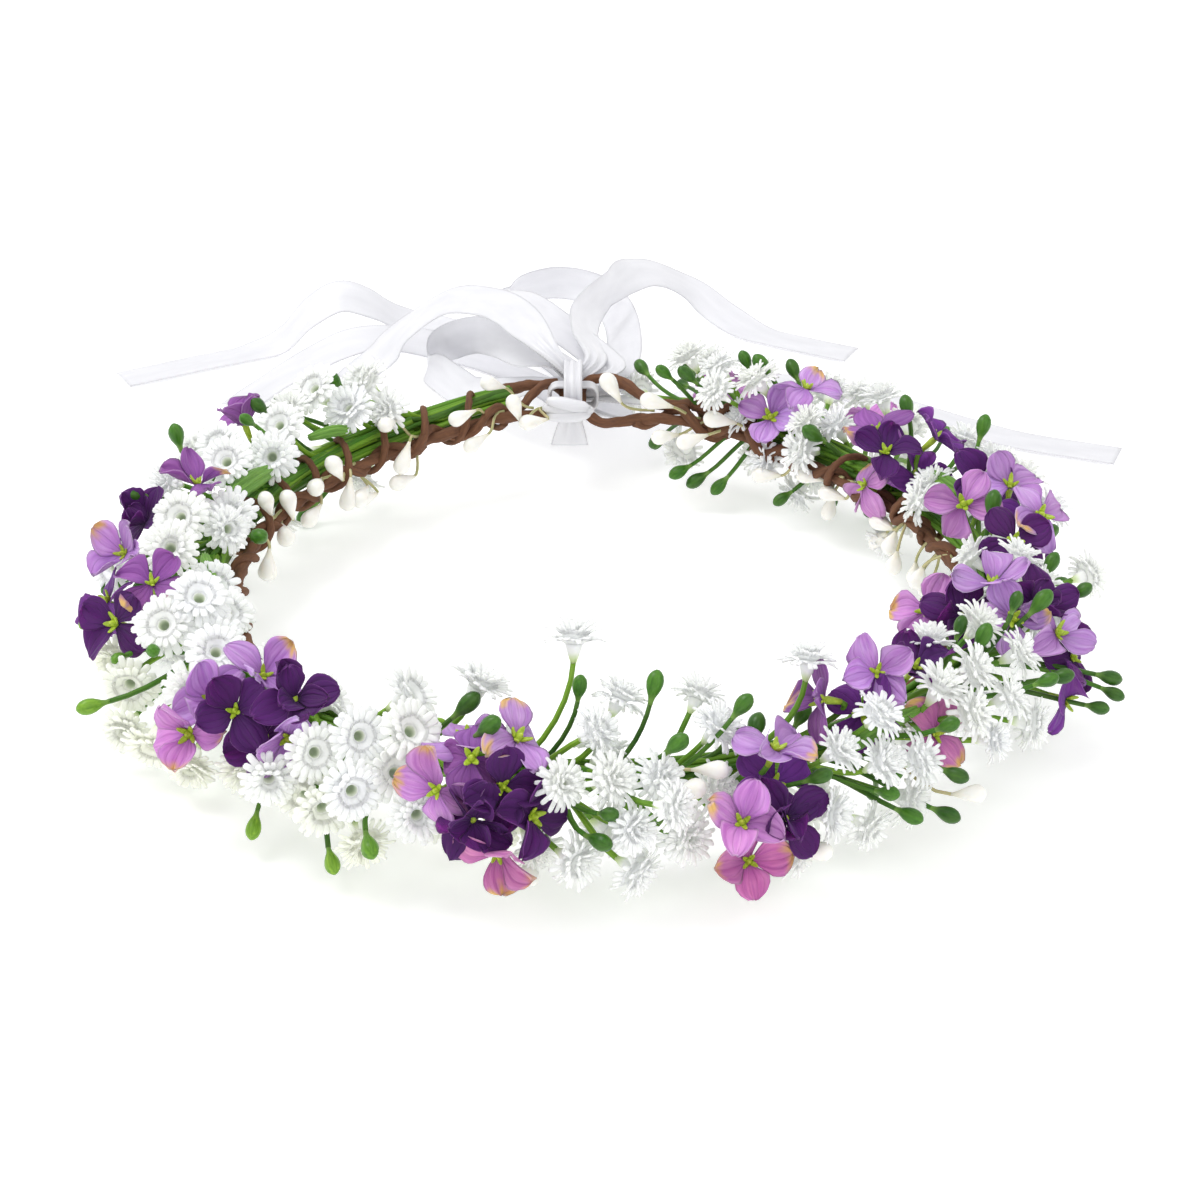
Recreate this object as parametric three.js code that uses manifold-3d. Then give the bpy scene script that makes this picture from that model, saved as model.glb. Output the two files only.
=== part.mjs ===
// Flower crown: a paper-covered wire ring, open at the back, dressed with plastic
// gypsophila sprays, fabric hydrangea clusters and berry picks, and tied with satin ribbon.
// Units are millimetres, +Z up. The origin is on the surface the crown rests on.
import * as THREE from 'three';
import { mergeVertices } from 'three/addons/utils/BufferGeometryUtils.js';
import Module from 'manifold-3d';

const wasm = await Module();
wasm.setup();

// ---- Driving dimensions ------------------------------------------------------------
const RING_CENTRE = [-1.9, 1.9];   // centre of the wire ring, seen from above
const RING_HEIGHT = 23;            // plane of the wire ring above the surface
const CORE_RADIUS = 0.5;           // steel core wire
const WRAP_RADIUS = 1.6;           // outside of the paper sleeve on the core
const WRAP_BORE = 0.95;            // inside of the paper sleeve
const BINDING_RADIUS = 0.6;        // thin paper wire wound round the stems
const STEM_RADIUS = 0.8;           // main stem of a spray
const TWIG_RADIUS = 0.6;           // side twigs
const BERRY_WIRE_RADIUS = 0.5;
const BLOSSOM_RADIUS = 7.6;        // gypsophila blossom
const BLOSSOM_DEPTH = 9.5;
const BLOSSOM_CROWN = 3;           // the part of that depth in front of its widest place
const FLORET_RADIUS = 11.5;        // hydrangea floret, to the tips of its petals
const FLORET_RISE = 0.8;           // height of those tips above its centre
const FLORET_DEPTH = 4;            // from its centre back to its stem
const BUD_RADIUS = 2.4;
const BUD_LENGTH = 7;
const BERRY_RADIUS = 2.5;
const BERRY_LENGTH = 9.5;
const GAP = 0.35;                  // clearance left between touching pieces
const PADDING_RADIUS = 108;        // centre circle of the ring of flowers
const RIBBON_WIDTH = 12;
const RIBBON_THICKNESS = 0.6;
const RIBBON_STEP = 8;             // length of one flat facet of a ribbon
const BAND_THICKNESS = 1;          // ribbon folded double where it goes round the wire
const HINGE_RADIUS = 95;           // distance of the front of the wire from the ring's centre
const HINGE_HALF_GAP = 0.6;        // half the gap between the two wire halves there
const OPENING_SLOPE = 0.16;        // widening of that gap outside the ring, for 8 degrees
const ROOM_SHARE = 0.95;           // how far apart flowers stand, as a share of their reach

// Wire ring as [angle, radius, rise above the ring plane]. Angles run anticlockwise
// from +X in degrees, so -90 and 270 are the front and 90 is the tie at the back.
const RING_SHAPE = [
  [-90, 95, 0], [-45, 96, 0], [0, 97, 0], [20, 93.5, 0], [40, 91.5, 0], [52, 94, 0],
  [63, 98, 0.5], [76, 102, 1.5], [104, 102.5, 2.5], [109, 100.5, 2], [116, 98.5, 1],
  [126, 97, 0.5], [141, 95.5, 0], [160, 94, 0], [183, 94, 0], [227, 95, 0], [270, 95, 0],
];

// The tie at the back, from the ring's centre.
const TIE_X = -6.25;
const TIE_Y = 108.8;
const KNOT_PLACE = [-7.6, 97.4, 5.4];
const KNOT_REACH = [7.2, 2.6, 3.3];
const WRAP_BAND = [6.6, 3.7, 4.6];  // half length, half height and width of the band along X
const STRAP_BAND = [8.6, 11.2, 8];  // and of the band along Y

// Tie loops at the back, continuing each half of the ring: [x, y, rise].
const LEFT_LOOP = [
  [-18, 101.4, 1.6], [-12.3, 101.8, 1.4], [-9, 104.4, 3], [-8.5, 108.3, 4.6], [-11.5, 112.6, 5.6],
  [-19, 112.4, 6], [-27, 109, 6],
];
const RIGHT_LOOP = [
  [20, 98.8, 1.4], [11.4, 99.8, 0.6], [3, 100.2, -0.6], [-2.8, 103.2, 1.6], [-4.2, 108.2, 4.8],
  [-2.2, 112.2, 7.2], [2.1, 113.2, 8], [7.5, 111.6, 7.6], [12.5, 107.6, 6], [16.5, 103.6, 4.6],
  [22, 101.6, 4.4], [29, 100.4, 5.4],
];

// Lanes in which stems lie beside the ring wire: [outward, up] from the wire's centre.
const EVEN_ROOT_LANE = [4.8, 3.4];
const ODD_ROOT_LANE = [6.2, 0.6];
const SPRAY_LANE = [9.6, 5.4];
const OVER_SPRAY = [12, 9.5];       // where an inward floret's twig passes over that lane
const CLUSTER_LANE = [5, -2.6];
const CLUSTER_HUB = [13, -2.6];    // where a cluster's stem divides
const BERRY_LANE = [0.5, 3];
const BINDING_CENTRE = [2.5, 1];
const BINDING_SWING = 5.8;         // radius of the binding wire's turns

// Gypsophila sprays. Each runs anticlockwise: its root lies in a root lane until
// "first", then it fills the sector from first to last. Flowers are [angle, tilt, depth],
// where tilt 0 faces outward, 90 up and 180 inward.
const SPRAYS = {
  left: [
    { root: 103, first: 124, last: 146,
      blossoms: [[126, 75, 16], [131, 100, 14], [137, 70, 24], [143, 88, 18], [130, 25, 20],
        [128, -65, 20], [141, -66, 20], [138, 5, 20]],
      buds: [[133, 60, 24], [145, 55, 20]] },
    { root: 121, first: 146, last: 164,
      blossoms: [[150, 115, 16], [155, 65, 24], [158, 92, 17], [147, 15, 21], [156, 20, 22],
        [155, -66, 20]],
      buds: [[152, 85, 22], [162, 10, 22]] },
    { root: 142, first: 164, last: 182,
      blossoms: [[165, 50, 24], [177, 92, 16], [177, 130, 15], [171, 12, 20], [168, -65, 20]],
      buds: [[172, 60, 18], [174, 155, 16], [178, 20, 22]] },
    { root: 160, first: 182, last: 203,
      blossoms: [[184, 88, 16], [183, 132, 15], [192, 92, 16], [201, 30, 20], [184, -65, 20],
        [197, -64, 20]],
      buds: [[187, -8, 22], [190, -20, 22]] },
    { root: 178, first: 203, last: 222,
      blossoms: [[203, 92, 16], [205, 52, 17], [213, 92, 16], [212, -2, 17], [213, 42, 17],
        [214, -34, 18], [219, -66, 20]],
      buds: [[207, 15, 26], [209, -30, 22], [208, 0, 32]] },
    { root: 198, first: 222, last: 240,
      blossoms: [[226, -28, 18], [233, 0, 17], [237, 35, 17], [238, -64, 20], [235, 115, 16]],
      buds: [[230, -40, 22], [239, 75, 17]] },
    { root: 217, first: 240, last: 256,
      blossoms: [[243, 10, 16], [242, -25, 17], [249, 62, 18], [249, 105, 20], [244, 48, 20],
        [251, -12, 17]],
      buds: [[247, -48, 20], [253, 88, 22], [241, -42, 22]] },
    { root: 236, first: 256, last: 267,
      blossoms: [[256, 112, 24], [264, 40, 17], [262, -64, 20], [265, -22, 17]],
      buds: [[266, 75, 20], [259, -35, 20]] },
  ],
  right: [
    { root: -88, first: -86, last: -68,
      blossoms: [[-87, 105, 34], [-86, 95, 20], [-84.5, 42, 17], [-82, 0, 17], [-80, 108, 26], [-75, 50, 18],
        [-72, 95, 20], [-78, -64, 20], [-73, 10, 19]],
      buds: [[-85, 20, 22], [-82, 75, 22], [-79, 80, 18], [-70, 70, 20]] },
    { root: -80, first: -68, last: -50,
      blossoms: [[-62, 109, 29], [-60, 45, 17], [-54, 72, 17], [-55, 22, 17], [-62, 0, 17],
        [-57, -24, 18], [-52, -60, 20]],
      buds: [[-56, -5, 24], [-58, 10, 22], [-50, 30, 22]] },
    { root: -64, first: -50, last: -32,
      blossoms: [[-49, 55, 18], [-43, 66, 17], [-38, 48, 18], [-36, 98, 18], [-39, 120, 17],
        [-40, 8, 18], [-34, -6, 19], [-38, -64, 20]],
      buds: [[-33, 22, 22], [-45, 30, 22]] },
    { root: -46, first: -32, last: -14,
      blossoms: [[-31, 42, 18], [-26, 102, 18], [-16, 22, 22], [-22, -64, 20], [-25, 62, 20],
        [-18, -24, 20]],
      buds: [[-28, 15, 22], [-17, 45, 24], [-20, -4, 29]] },
    { root: -29, first: -14, last: 6,
      blossoms: [[-7, 52, 18], [-6, 22, 25], [0, -2, 22], [-8, -20, 21], [-4, -64, 20],
        [-10, 85, 16]],
      buds: [[-12, 62, 20], [3, 102, 20]] },
    { root: -10, first: 6, last: 30,
      blossoms: [[16, 60, 24], [22, 58, 22], [22, 158, 16], [25, 105, 18], [10, 15, 22],
        [14, -64, 20], [24, 18, 22], [27, -50, 18]],
      buds: [[21, 80, 24], [17, 35, 24]] },
    { root: 11, first: 30, last: 55,
      blossoms: [[42, 68, 22], [50, 85, 20], [51, 120, 17], [52, 156, 16], [36, 18, 22],
        [34, -64, 20], [46, 22, 22], [48, -55, 19]],
      buds: [[37, 92, 18], [48, 145, 18]] },
    { root: 36, first: 55, last: 82,
      blossoms: [[59, 165, 16], [63, 85, 18], [69, 128, 16], [74, 85, 22], [80, 92, 17],
        [80, 200, 16], [62, -62, 20], [58, 22, 20], [70, 30, 20]],
      buds: [[66, 100, 18], [72, 110, 18], [76, 118, 17]] },
  ],
};

// Hydrangea clusters of cloth florets on a wire stem: [angle, tilt, depth].
const CLUSTERS = {
  left: [
    { name: 'hydrangea_back_left', root: 133, hub: 145, florets: [[147, 72, 21], [143, 45, 20]] },
    { name: 'hydrangea_left_upper', root: 153, hub: 164,
      florets: [[164, 80, 19], [168, 60, 20], [169, 98, 18]] },
    { name: 'hydrangea_left', root: 177, hub: 188,
      florets: [[184, 62, 21], [189, 36, 22], [193, 8, 21], [197, 58, 20]] },
    { name: 'hydrangea_front_left', root: 213, hub: 223,
      florets: [[222.5, 45, 19], [230, 70, 19], [224, 88, 18], [218, 12, 19]] },
    { name: 'hydrangea_front', root: 247, hub: 257,
      florets: [[253, 32, 20], [259, 62, 19], [261, 95, 17], [258, 0, 19], [258, -30, 19]] },
  ],
  right: [
    { name: 'hydrangea_front_right', root: -77, hub: -68,
      florets: [[-71, 12, 20], [-72, -30, 20], [-67, 60, 18], [-66, -8, 20]] },
    { name: 'hydrangea_right_front', root: -59, hub: -50,
      florets: [[-50, 108, 18], [-46, 85, 18], [-47, 34, 19]] },
    { name: 'hydrangea_right', root: -34, hub: -24,
      florets: [[-25, 25, 23], [-30, 12, 23], [-17, 95, 18], [-21, 150, 20]] },
    { name: 'hydrangea_right_back', root: -2, hub: 7,
      florets: [[12, 112, 20], [5, 55, 21], [4, 84, 18]] },
    { name: 'hydrangea_back_right', root: 26, hub: 35,
      florets: [[34, 122, 18], [38, 165, 18], [31, 75, 20], [38, 92, 18]] },
    { name: 'hydrangea_back', root: 48, hub: 56, florets: [[60, 132, 17], [55, 100, 16]] },
  ],
};

// Picks of cream pip berries on fine wire along the inside of the ring, each as
// [angle, outward from the wire, rise above it].
const BERRY_PICKS = {
  left: [
    { root: 98.5, berries: [[104, 1.5, 10.5], [103.5, -7.5, -6], [110, 0.5, 11], [110.5, -7, -3]] },
    { root: 118, berries: [[125.5, 3.5, 12.5], [126, -6, -6], [130, -1, 9.5], [133, -6, 1]] },
    { root: 135, berries: [[139, -6, -9], [143, -4, 6], [148, -6.5, 0], [151, -6, -7]] },
    { root: 152, berries: [[157, -4, 6], [160, -6.5, -2.5], [163, -1, 9], [169, -7, -6]] },
    { root: 243, berries: [[250, -6, 3], [256, -6.5, -4]] },
  ],
  right: [
    { root: -58, berries: [[-50, -6, 3], [-44, -6.5, -5]] },
    { root: 6, berries: [[12, -5, -12], [15, -6.5, -4], [18, -5, -14], [20, -6.5, -6]] },
    { root: 21, berries: [[26, -6.5, -1], [28, -5.5, -9], [33, -6.5, -5], [32, -5, -14]] },
    { root: 37, berries: [[42, -6, -6], [44, -5, -12], [48, -6.5, -2], [56, -6.5, -8]] },
    { root: 58, berries: [[64, -5, 7], [72, -9, -3], [79, -9, 3]] },
  ],
};

// Free ribbon, from the knot outward, as [x, y, height above the surface].
const RIBBONS = {
  ribbon_loop_left: [
    [-12, 119, 27], [-18, 127, 22], [-29, 143, 13], [-40, 159, 5],
    [-48, 170, 2.5], [-53, 179, 5], [-48, 184, 11], [-38, 176, 18],
    [-28, 155, 25], [-18, 131, 30], [-11, 119, 33],
  ],
  ribbon_loop_back: [
    [5, 119, 31], [1, 134, 29], [-9, 160, 26], [-23, 188, 24], [-35, 212, 15],
    [-30, 236, 5], [-14, 247, 3], [1, 240, 5], [6, 222, 9], [9, 190, 15],
    [9, 155, 20], [6, 128, 25], [5, 119, 25],
  ],
  ribbon_tail_arch: [
    [-14, 119, 38], [-19, 128, 40], [-25, 142, 40], [-33, 155, 38],
    [-46, 172, 31], [-60, 181, 18], [-69, 181, 8], [-80, 176, 2],
  ],
  ribbon_tail_left: [
    [4, 119, 16], [6, 140, 7], [-2, 172, 1.5], [-16, 198, 1.2], [-34, 213, 1.2],
    [-50, 218, 1.5], [-63, 216, 6], [-73, 211, 14], [-83, 208, 18],
    [-93, 206, 13], [-102, 205, 4], [-112, 201, 1.2], [-130, 191, 1.2],
    [-151, 179, 1.2],
  ],
  ribbon_tail_broad: [
    [-4, 119, 20], [-8, 146, 8], [-20, 177, 1.8], [-40, 196, 1.5],
    [-58, 199, 6], [-76, 193, 9], [-93, 183, 5], [-105, 172, 1.3],
    [-112, 158, 1.2],
  ],
  ribbon_tail_mid: [
    [0, 119, 37], [-3, 140, 37], [-6, 165, 34], [-3, 188, 33], [4, 205, 33],
    [15, 219, 27], [28, 227, 15], [39, 225, 5], [51, 217, 1.2],
    [68, 207, 1.2], [84, 199, 1.2],
  ],
  ribbon_tail_right: [
    [12, 119, 21], [22, 140, 11], [36, 168, 3], [56, 178, 1.2],
    [77, 171, 1.2], [95, 159, 1.2], [113, 145, 1.2], [131, 133, 1.2],
    [159, 122, 1.2],
  ],
};

// ---- Places ------------------------------------------------------------------------
const radians = THREE.MathUtils.degToRad;
const UP = new THREE.Vector3(0, 0, 1);

function outward(angle, tilt = 0) {
  const flat = Math.cos(radians(tilt));
  return new THREE.Vector3(
    flat * Math.cos(radians(angle)), flat * Math.sin(radians(angle)), Math.sin(radians(tilt)));
}

function along(angle) {
  return outward(angle + 90);
}

// A point given from the ring's centre, with its rise above the ring plane.
function fromCentre(x, y, rise) {
  return new THREE.Vector3(RING_CENTRE[0] + x, RING_CENTRE[1] + y, RING_HEIGHT + rise);
}

function polar(angle, radius, rise) {
  const arm = outward(angle).multiplyScalar(radius);
  return fromCentre(arm.x, arm.y, rise);
}

// Radius and rise of the ring wire at an angle.
function ringAt(angle) {
  const next = Math.max(1, RING_SHAPE.findIndex((point) => point[0] >= angle));
  const [a0, radius0, rise0] = RING_SHAPE[next - 1];
  const [a1, radius1, rise1] = RING_SHAPE[next];
  const share = (angle - a0) / (a1 - a0);
  return [THREE.MathUtils.lerp(radius0, radius1, share), THREE.MathUtils.lerp(rise0, rise1, share)];
}

function laneAt(angle, [out, up]) {
  const [radius, rise] = ringAt(angle);
  return polar(angle, radius + out, rise + up);
}

function flowerAt(angle, tilt, depth) {
  const across = PADDING_RADIUS + depth * Math.cos(radians(tilt));
  return polar(angle, across, depth * Math.sin(radians(tilt)));
}

function angleSteps(from, to, count) {
  return Array.from({ length: count + 1 }, (_, i) => from + (to - from) * i / count);
}

// ---- Solids ------------------------------------------------------------------------
// Welds a geometry and returns it as a closed solid with its faces pointing out.
function solid(geometry) {
  geometry.deleteAttribute('normal');
  geometry.deleteAttribute('uv');
  const welded = mergeVertices(geometry, 1e-4);
  const place = welded.attributes.position;
  const index = welded.index.array;
  const corners = [new THREE.Vector3(), new THREE.Vector3(), new THREE.Vector3()];
  const faces = [];
  let volume = 0;
  for (let i = 0; i < index.length; i += 3) {
    const [a, b, c] = [index[i], index[i + 1], index[i + 2]];
    if (a === b || b === c || c === a) continue;
    faces.push([a, b, c]);
    corners.forEach((corner, k) => corner.fromBufferAttribute(place, index[i + k]));
    volume += corners[0].dot(corners[1].clone().cross(corners[2]));
  }
  const order = volume > 0 ? faces.flat() : faces.flatMap(([a, b, c]) => [a, c, b]);
  return new wasm.Manifold(new wasm.Mesh({
    numProp: 3,
    vertProperties: new Float32Array(place.array),
    triVerts: new Uint32Array(order),
  }));
}

function join(solids) {
  return solids.reduce((sum, next) => sum.add(next));
}

function ringSection(radius, sides, bore = 0) {
  const turn = 2 * Math.PI / sides;
  const corner = (i, r) => new THREE.Vector2(r * Math.cos(turn * i), r * Math.sin(turn * i));
  const section = new THREE.Shape(Array.from({ length: sides }, (_, i) => corner(i, radius)));
  if (bore > 0) {
    section.holes.push(new THREE.Path(Array.from({ length: sides }, (_, i) => corner(-i, bore))));
  }
  return section;
}

// A smooth curve whose steps follow its control points, so close points give fine bends.
class PointwiseCurve extends THREE.CatmullRomCurve3 {
  getUtoTmapping(share) {
    return share;
  }
}

function tube(points, radius, { sides = 3, bore = 0 } = {}) {
  const path = new PointwiseCurve(points);
  return solid(new THREE.ExtrudeGeometry(ringSection(radius, sides, bore),
    { steps: points.length - 1, extrudePath: path, bevelEnabled: false }));
}

// A turned form with its axis along a direction; profile points are [radius, height].
function turned(profile, sides, place, direction, shape = () => 1) {
  const geometry = new THREE.LatheGeometry(profile.map(([r, h]) => new THREE.Vector2(r, h)), sides);
  const spots = geometry.attributes.position;
  for (let i = 0; i < spots.count; i += 1) {
    const scale = shape(Math.atan2(spots.getX(i), spots.getZ(i)));
    spots.setX(i, spots.getX(i) * scale);
    spots.setZ(i, spots.getZ(i) * scale);
  }
  const turn = new THREE.Quaternion().setFromUnitVectors(new THREE.Vector3(0, 1, 0), direction);
  geometry.applyQuaternion(turn);
  geometry.translate(place.x, place.y, place.z);
  return solid(geometry);
}

function blossomSolid(place, direction, extra) {
  const r = BLOSSOM_RADIUS + extra;
  const top = BLOSSOM_CROWN + extra;
  const tail = BLOSSOM_CROWN - BLOSSOM_DEPTH - extra;
  return turned([[0, tail], [r, -extra], [r * 0.72, top], [0, top - 1]], 6, place, direction);
}

function floretSolid(place, direction, extra) {
  const lobes = (angle) => 0.84 - 0.16 * Math.cos(4 * angle);
  const r = FLORET_RADIUS + extra;
  const rim = extra > 0 ? [[r, FLORET_RISE - extra], [r, FLORET_RISE + extra]] : [[r, FLORET_RISE]];
  return turned([[0, -FLORET_DEPTH - extra], ...rim, [0, -0.6 + extra]], 12, place, direction, lobes);
}

function budSolid(place, direction, extra) {
  const r = BUD_RADIUS + extra;
  const half = BUD_LENGTH / 2 + extra;
  return turned([[0, -half], [r, half * 0.3], [0, half]], 5, place, direction);
}

function berrySolid(place, direction, extra) {
  const r = BERRY_RADIUS + extra;
  const half = BERRY_LENGTH / 2 + extra;
  return turned([[0, -half], [r, half * 0.4], [0, half]], 5, place, direction);
}

// ---- Pieces ------------------------------------------------------------------------
// A piece is built from slender parts, which keep their shape, and from full forms,
// which give way to every neighbour's slender parts.
class Piece {
  constructor(name, side, material) {
    Object.assign(this, { name, side, material });
    Object.assign(this, { slender: [], full: [], slenderZone: [], fullZone: [] });
  }

  addTube(points, radius, options) {
    this.slender.push(tube(points, radius, options));
    this.slenderZone.push(tube(points, radius + GAP, { ...options, bore: 0 }));
  }

  addShape(shape) {
    this.slender.push(shape);
    this.slenderZone.push(shape);
  }

  addForm(form, place, direction) {
    this.full.push(form(place, direction, 0));
    this.fullZone.push(form(place, direction, GAP));
  }
}

// Claims a flower's place, unless a flower already placed stands too near.
const placed = [];
function takeRoom(place, reach) {
  const free = placed.every(
    (other) => other.place.distanceTo(place) > ROOM_SHARE * (other.reach + reach));
  if (free) placed.push({ place, reach });
  return free;
}

// A twig leaves the stem at one angle and reaches its flower's base from behind.
function addTwig(piece, start, place, direction, reach, over = []) {
  const base = place.clone().addScaledVector(direction, -reach);
  const end = place.clone().addScaledVector(direction, -reach * 0.4);
  piece.addTube([start, ...over, base, end], TWIG_RADIUS);
}

function gypsophilaSpray(name, side, spec, number) {
  const piece = new Piece(name, side, MATERIALS.spray);
  const rootLane = number % 2 ? ODD_ROOT_LANE : EVEN_ROOT_LANE;
  const stem = [
    ...angleSteps(spec.root, spec.first - 7, 3).map((a) => laneAt(a, rootLane)),
    ...angleSteps(spec.first + 1, spec.last - 3, 2).map((a) => laneAt(a, SPRAY_LANE)),
  ];
  if (spec.first - 7 <= spec.root) stem.splice(0, 4, laneAt(spec.root, rootLane));
  piece.addTube(stem, STEM_RADIUS, { sides: 4 });
  const addFlower = (form, [angle, tilt, depth], reach, size) => {
    const place = flowerAt(angle, tilt, depth);
    if (!takeRoom(place, size)) return;
    const direction = outward(angle, tilt).multiplyScalar(0.7).addScaledVector(along(angle), 0.6)
      .normalize();
    const from = THREE.MathUtils.clamp(angle - 9, Math.max(spec.first, spec.root + 1), spec.last - 5);
    addTwig(piece, laneAt(from, SPRAY_LANE), place, direction, reach);
    piece.addForm(form, place, direction);
  };
  spec.blossoms.forEach((flower) => addFlower(blossomSolid, flower, 6, BLOSSOM_RADIUS));
  spec.buds.forEach((flower) => addFlower(budSolid, flower, 3, BUD_RADIUS));
  return piece;
}

function hydrangeaCluster(spec, side) {
  const piece = new Piece(spec.name, side, MATERIALS.hydrangea);
  const hub = laneAt(spec.hub, CLUSTER_HUB);
  piece.addTube([...angleSteps(spec.root, spec.hub - 4, 2).map((a) => laneAt(a, CLUSTER_LANE)), hub],
    STEM_RADIUS, { sides: 4 });
  for (const [angle, tilt, depth] of spec.florets) {
    const place = flowerAt(angle, tilt, depth);
    if (!takeRoom(place, FLORET_RADIUS * 0.8)) continue;
    const direction = outward(angle, tilt).addScaledVector(along(angle), 0.2).normalize();
    const over = tilt > 80 ? [laneAt(angle - 4, OVER_SPRAY)] : [];
    addTwig(piece, hub, place, direction, 3.5, over);
    piece.addForm(floretSolid, place, direction);
  }
  return piece;
}

function berryPick(name, side, spec) {
  const piece = new Piece(name, side, MATERIALS.berry);
  const last = spec.berries.at(-1)[0];
  piece.addTube(angleSteps(spec.root, last - 5, 3).map((a) => laneAt(a, BERRY_LANE)),
    BERRY_WIRE_RADIUS);
  for (const [angle, out, up] of spec.berries) {
    const place = laneAt(angle, [out, up]);
    const direction = outward(angle, up > 2 ? 90 : 180).addScaledVector(along(angle), 0.7)
      .add(outward(0, up > 2 ? 0 : -90).multiplyScalar(0.5)).normalize();
    const start = laneAt(Math.min(Math.max(spec.root + 0.5, angle - 5), last - 5.5), BERRY_LANE);
    const bend = up > 2 ? [laneAt(angle - 2, [-1, 3.6])]
      : [laneAt(angle - 2.4, [-2.6, 2.8]), laneAt(angle - 1.6, [-4, -0.5])];
    const base = place.clone().addScaledVector(direction, -BERRY_LENGTH * 0.3);
    piece.addTube([start, ...bend, base], BERRY_WIRE_RADIUS);
    piece.addForm(berrySolid, place, direction);
  }
  return piece;
}

function ringPath(side) {
  const [from, to, loop] = side === 'left' ? [269, 107, LEFT_LOOP] : [-89, 72, RIGHT_LOOP];
  const front = fromCentre(side === 'left' ? -HINGE_HALF_GAP : HINGE_HALF_GAP, -HINGE_RADIUS, 0);
  const arc = angleSteps(from, to, 13).map((a) => polar(a, ...ringAt(a)));
  return [front, ...arc, ...loop.map(([x, y, rise]) => fromCentre(x, y, rise))];
}

function paperWrap(side) {
  const piece = new Piece(`paper_wrap_${side}`, side, MATERIALS.paper);
  piece.core = `core_wire_${side}`;
  piece.addTube(ringPath(side), WRAP_RADIUS, { sides: 6, bore: WRAP_BORE });
  return piece;
}

function coreWire(side) {
  const piece = new Piece(`core_wire_${side}`, side, MATERIALS.steel);
  piece.addTube(ringPath(side), CORE_RADIUS, { sides: 4 });
  return piece;
}

function bindingWire(side, from, to, turns) {
  const piece = new Piece(`binding_wire_${side}`, side, MATERIALS.paper);
  const points = angleSteps(0, turns * 360, turns * 8).map((swing) => {
    const angle = THREE.MathUtils.lerp(from, to, swing / (turns * 360));
    const out = BINDING_CENTRE[0] - BINDING_SWING * Math.cos(radians(swing));
    const up = BINDING_CENTRE[1] - BINDING_SWING * Math.sin(radians(swing));
    return laneAt(angle, [out, up]);
  });
  piece.addTube(points, BINDING_RADIUS, { sides: 4 });
  return piece;
}

// A flat strip bent along a route, with its width level.
function ribbonStrip(name, route) {
  const path = new THREE.CatmullRomCurve3(
    route.map(([x, y, height]) => fromCentre(x, y, height - RING_HEIGHT)));
  const steps = Math.round(path.getLength() / RIBBON_STEP);
  const geometry = new THREE.BoxGeometry(1, RIBBON_WIDTH, RIBBON_THICKNESS, steps, 1, 1);
  const spots = geometry.attributes.position;
  const spot = new THREE.Vector3();
  for (let i = 0; i < spots.count; i += 1) {
    const share = spots.getX(i) + 0.5;
    const heading = path.getTangentAt(share);
    const across = UP.clone().cross(heading).normalize();
    const face = heading.clone().cross(across);
    spot.copy(path.getPointAt(share)).addScaledVector(across, spots.getY(i))
      .addScaledVector(face, spots.getZ(i));
    spots.setXYZ(i, spot.x, spot.y, spot.z);
  }
  const piece = new Piece(name, 'right', MATERIALS.ribbon);
  piece.addShape(solid(geometry));
  return piece;
}

// A band of ribbon round the tie loops: an oblong extruded by its width, which may be left
// open at one end.
function ribbonBand(name, [halfLength, halfHeight, width], place, turnBand, openAt = null) {
  const oblong = (length, height) => {
    const outline = new THREE.Path();
    const corner = Math.min(length, height) * 0.7;
    [[1, 1], [-1, 1], [-1, -1], [1, -1]].forEach(([u, v], quarter) => {
      const start = quarter * Math.PI / 2;
      outline.absellipse(u * (length - corner), v * (height - corner), corner, corner,
        start, start + Math.PI / 2, false);
    });
    return outline.getPoints(2);
  };
  const shape = new THREE.Shape(oblong(halfLength, halfHeight));
  const inside = oblong(halfLength - BAND_THICKNESS, halfHeight - BAND_THICKNESS);
  shape.holes.push(new THREE.Path(inside.reverse()));
  const geometry = new THREE.ExtrudeGeometry(shape, { depth: width, steps: 1, bevelEnabled: false });
  geometry.translate(0, 0, -width / 2);
  turnBand(geometry);
  geometry.translate(place.x, place.y, place.z);
  let band = solid(geometry);
  if (openAt !== null) {
    const end = new THREE.BoxGeometry(2 * halfLength, 2 * width, 4 * halfHeight);
    end.translate(place.x + openAt - halfLength, place.y, place.z);
    band = band.subtract(solid(end));
  }
  const piece = new Piece(name, 'right', MATERIALS.ribbon);
  piece.addShape(band);
  return piece;
}

function ribbonKnot() {
  const piece = new Piece('ribbon_knot', 'right', MATERIALS.ribbon);
  const geometry = new THREE.SphereGeometry(1, 12, 6);
  geometry.scale(...KNOT_REACH);
  const place = fromCentre(...KNOT_PLACE);
  geometry.translate(place.x, place.y, place.z);
  piece.addShape(solid(geometry));
  return piece;
}

// ---- Materials ---------------------------------------------------------------------
function material(color, roughness, metalness = 0) {
  return new THREE.MeshStandardMaterial({ color, roughness, metalness });
}

const MATERIALS = {
  steel: material(0x9a9a98, 0.35, 1),
  paper: material(0x6a4228, 0.85),
  spray: material(0xe9efe4, 0.6),
  hydrangea: material(0xa878c0, 0.9),
  berry: material(0xefe9dc, 0.35),
  ribbon: material(0xf4f3f7, 0.4),
};

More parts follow.
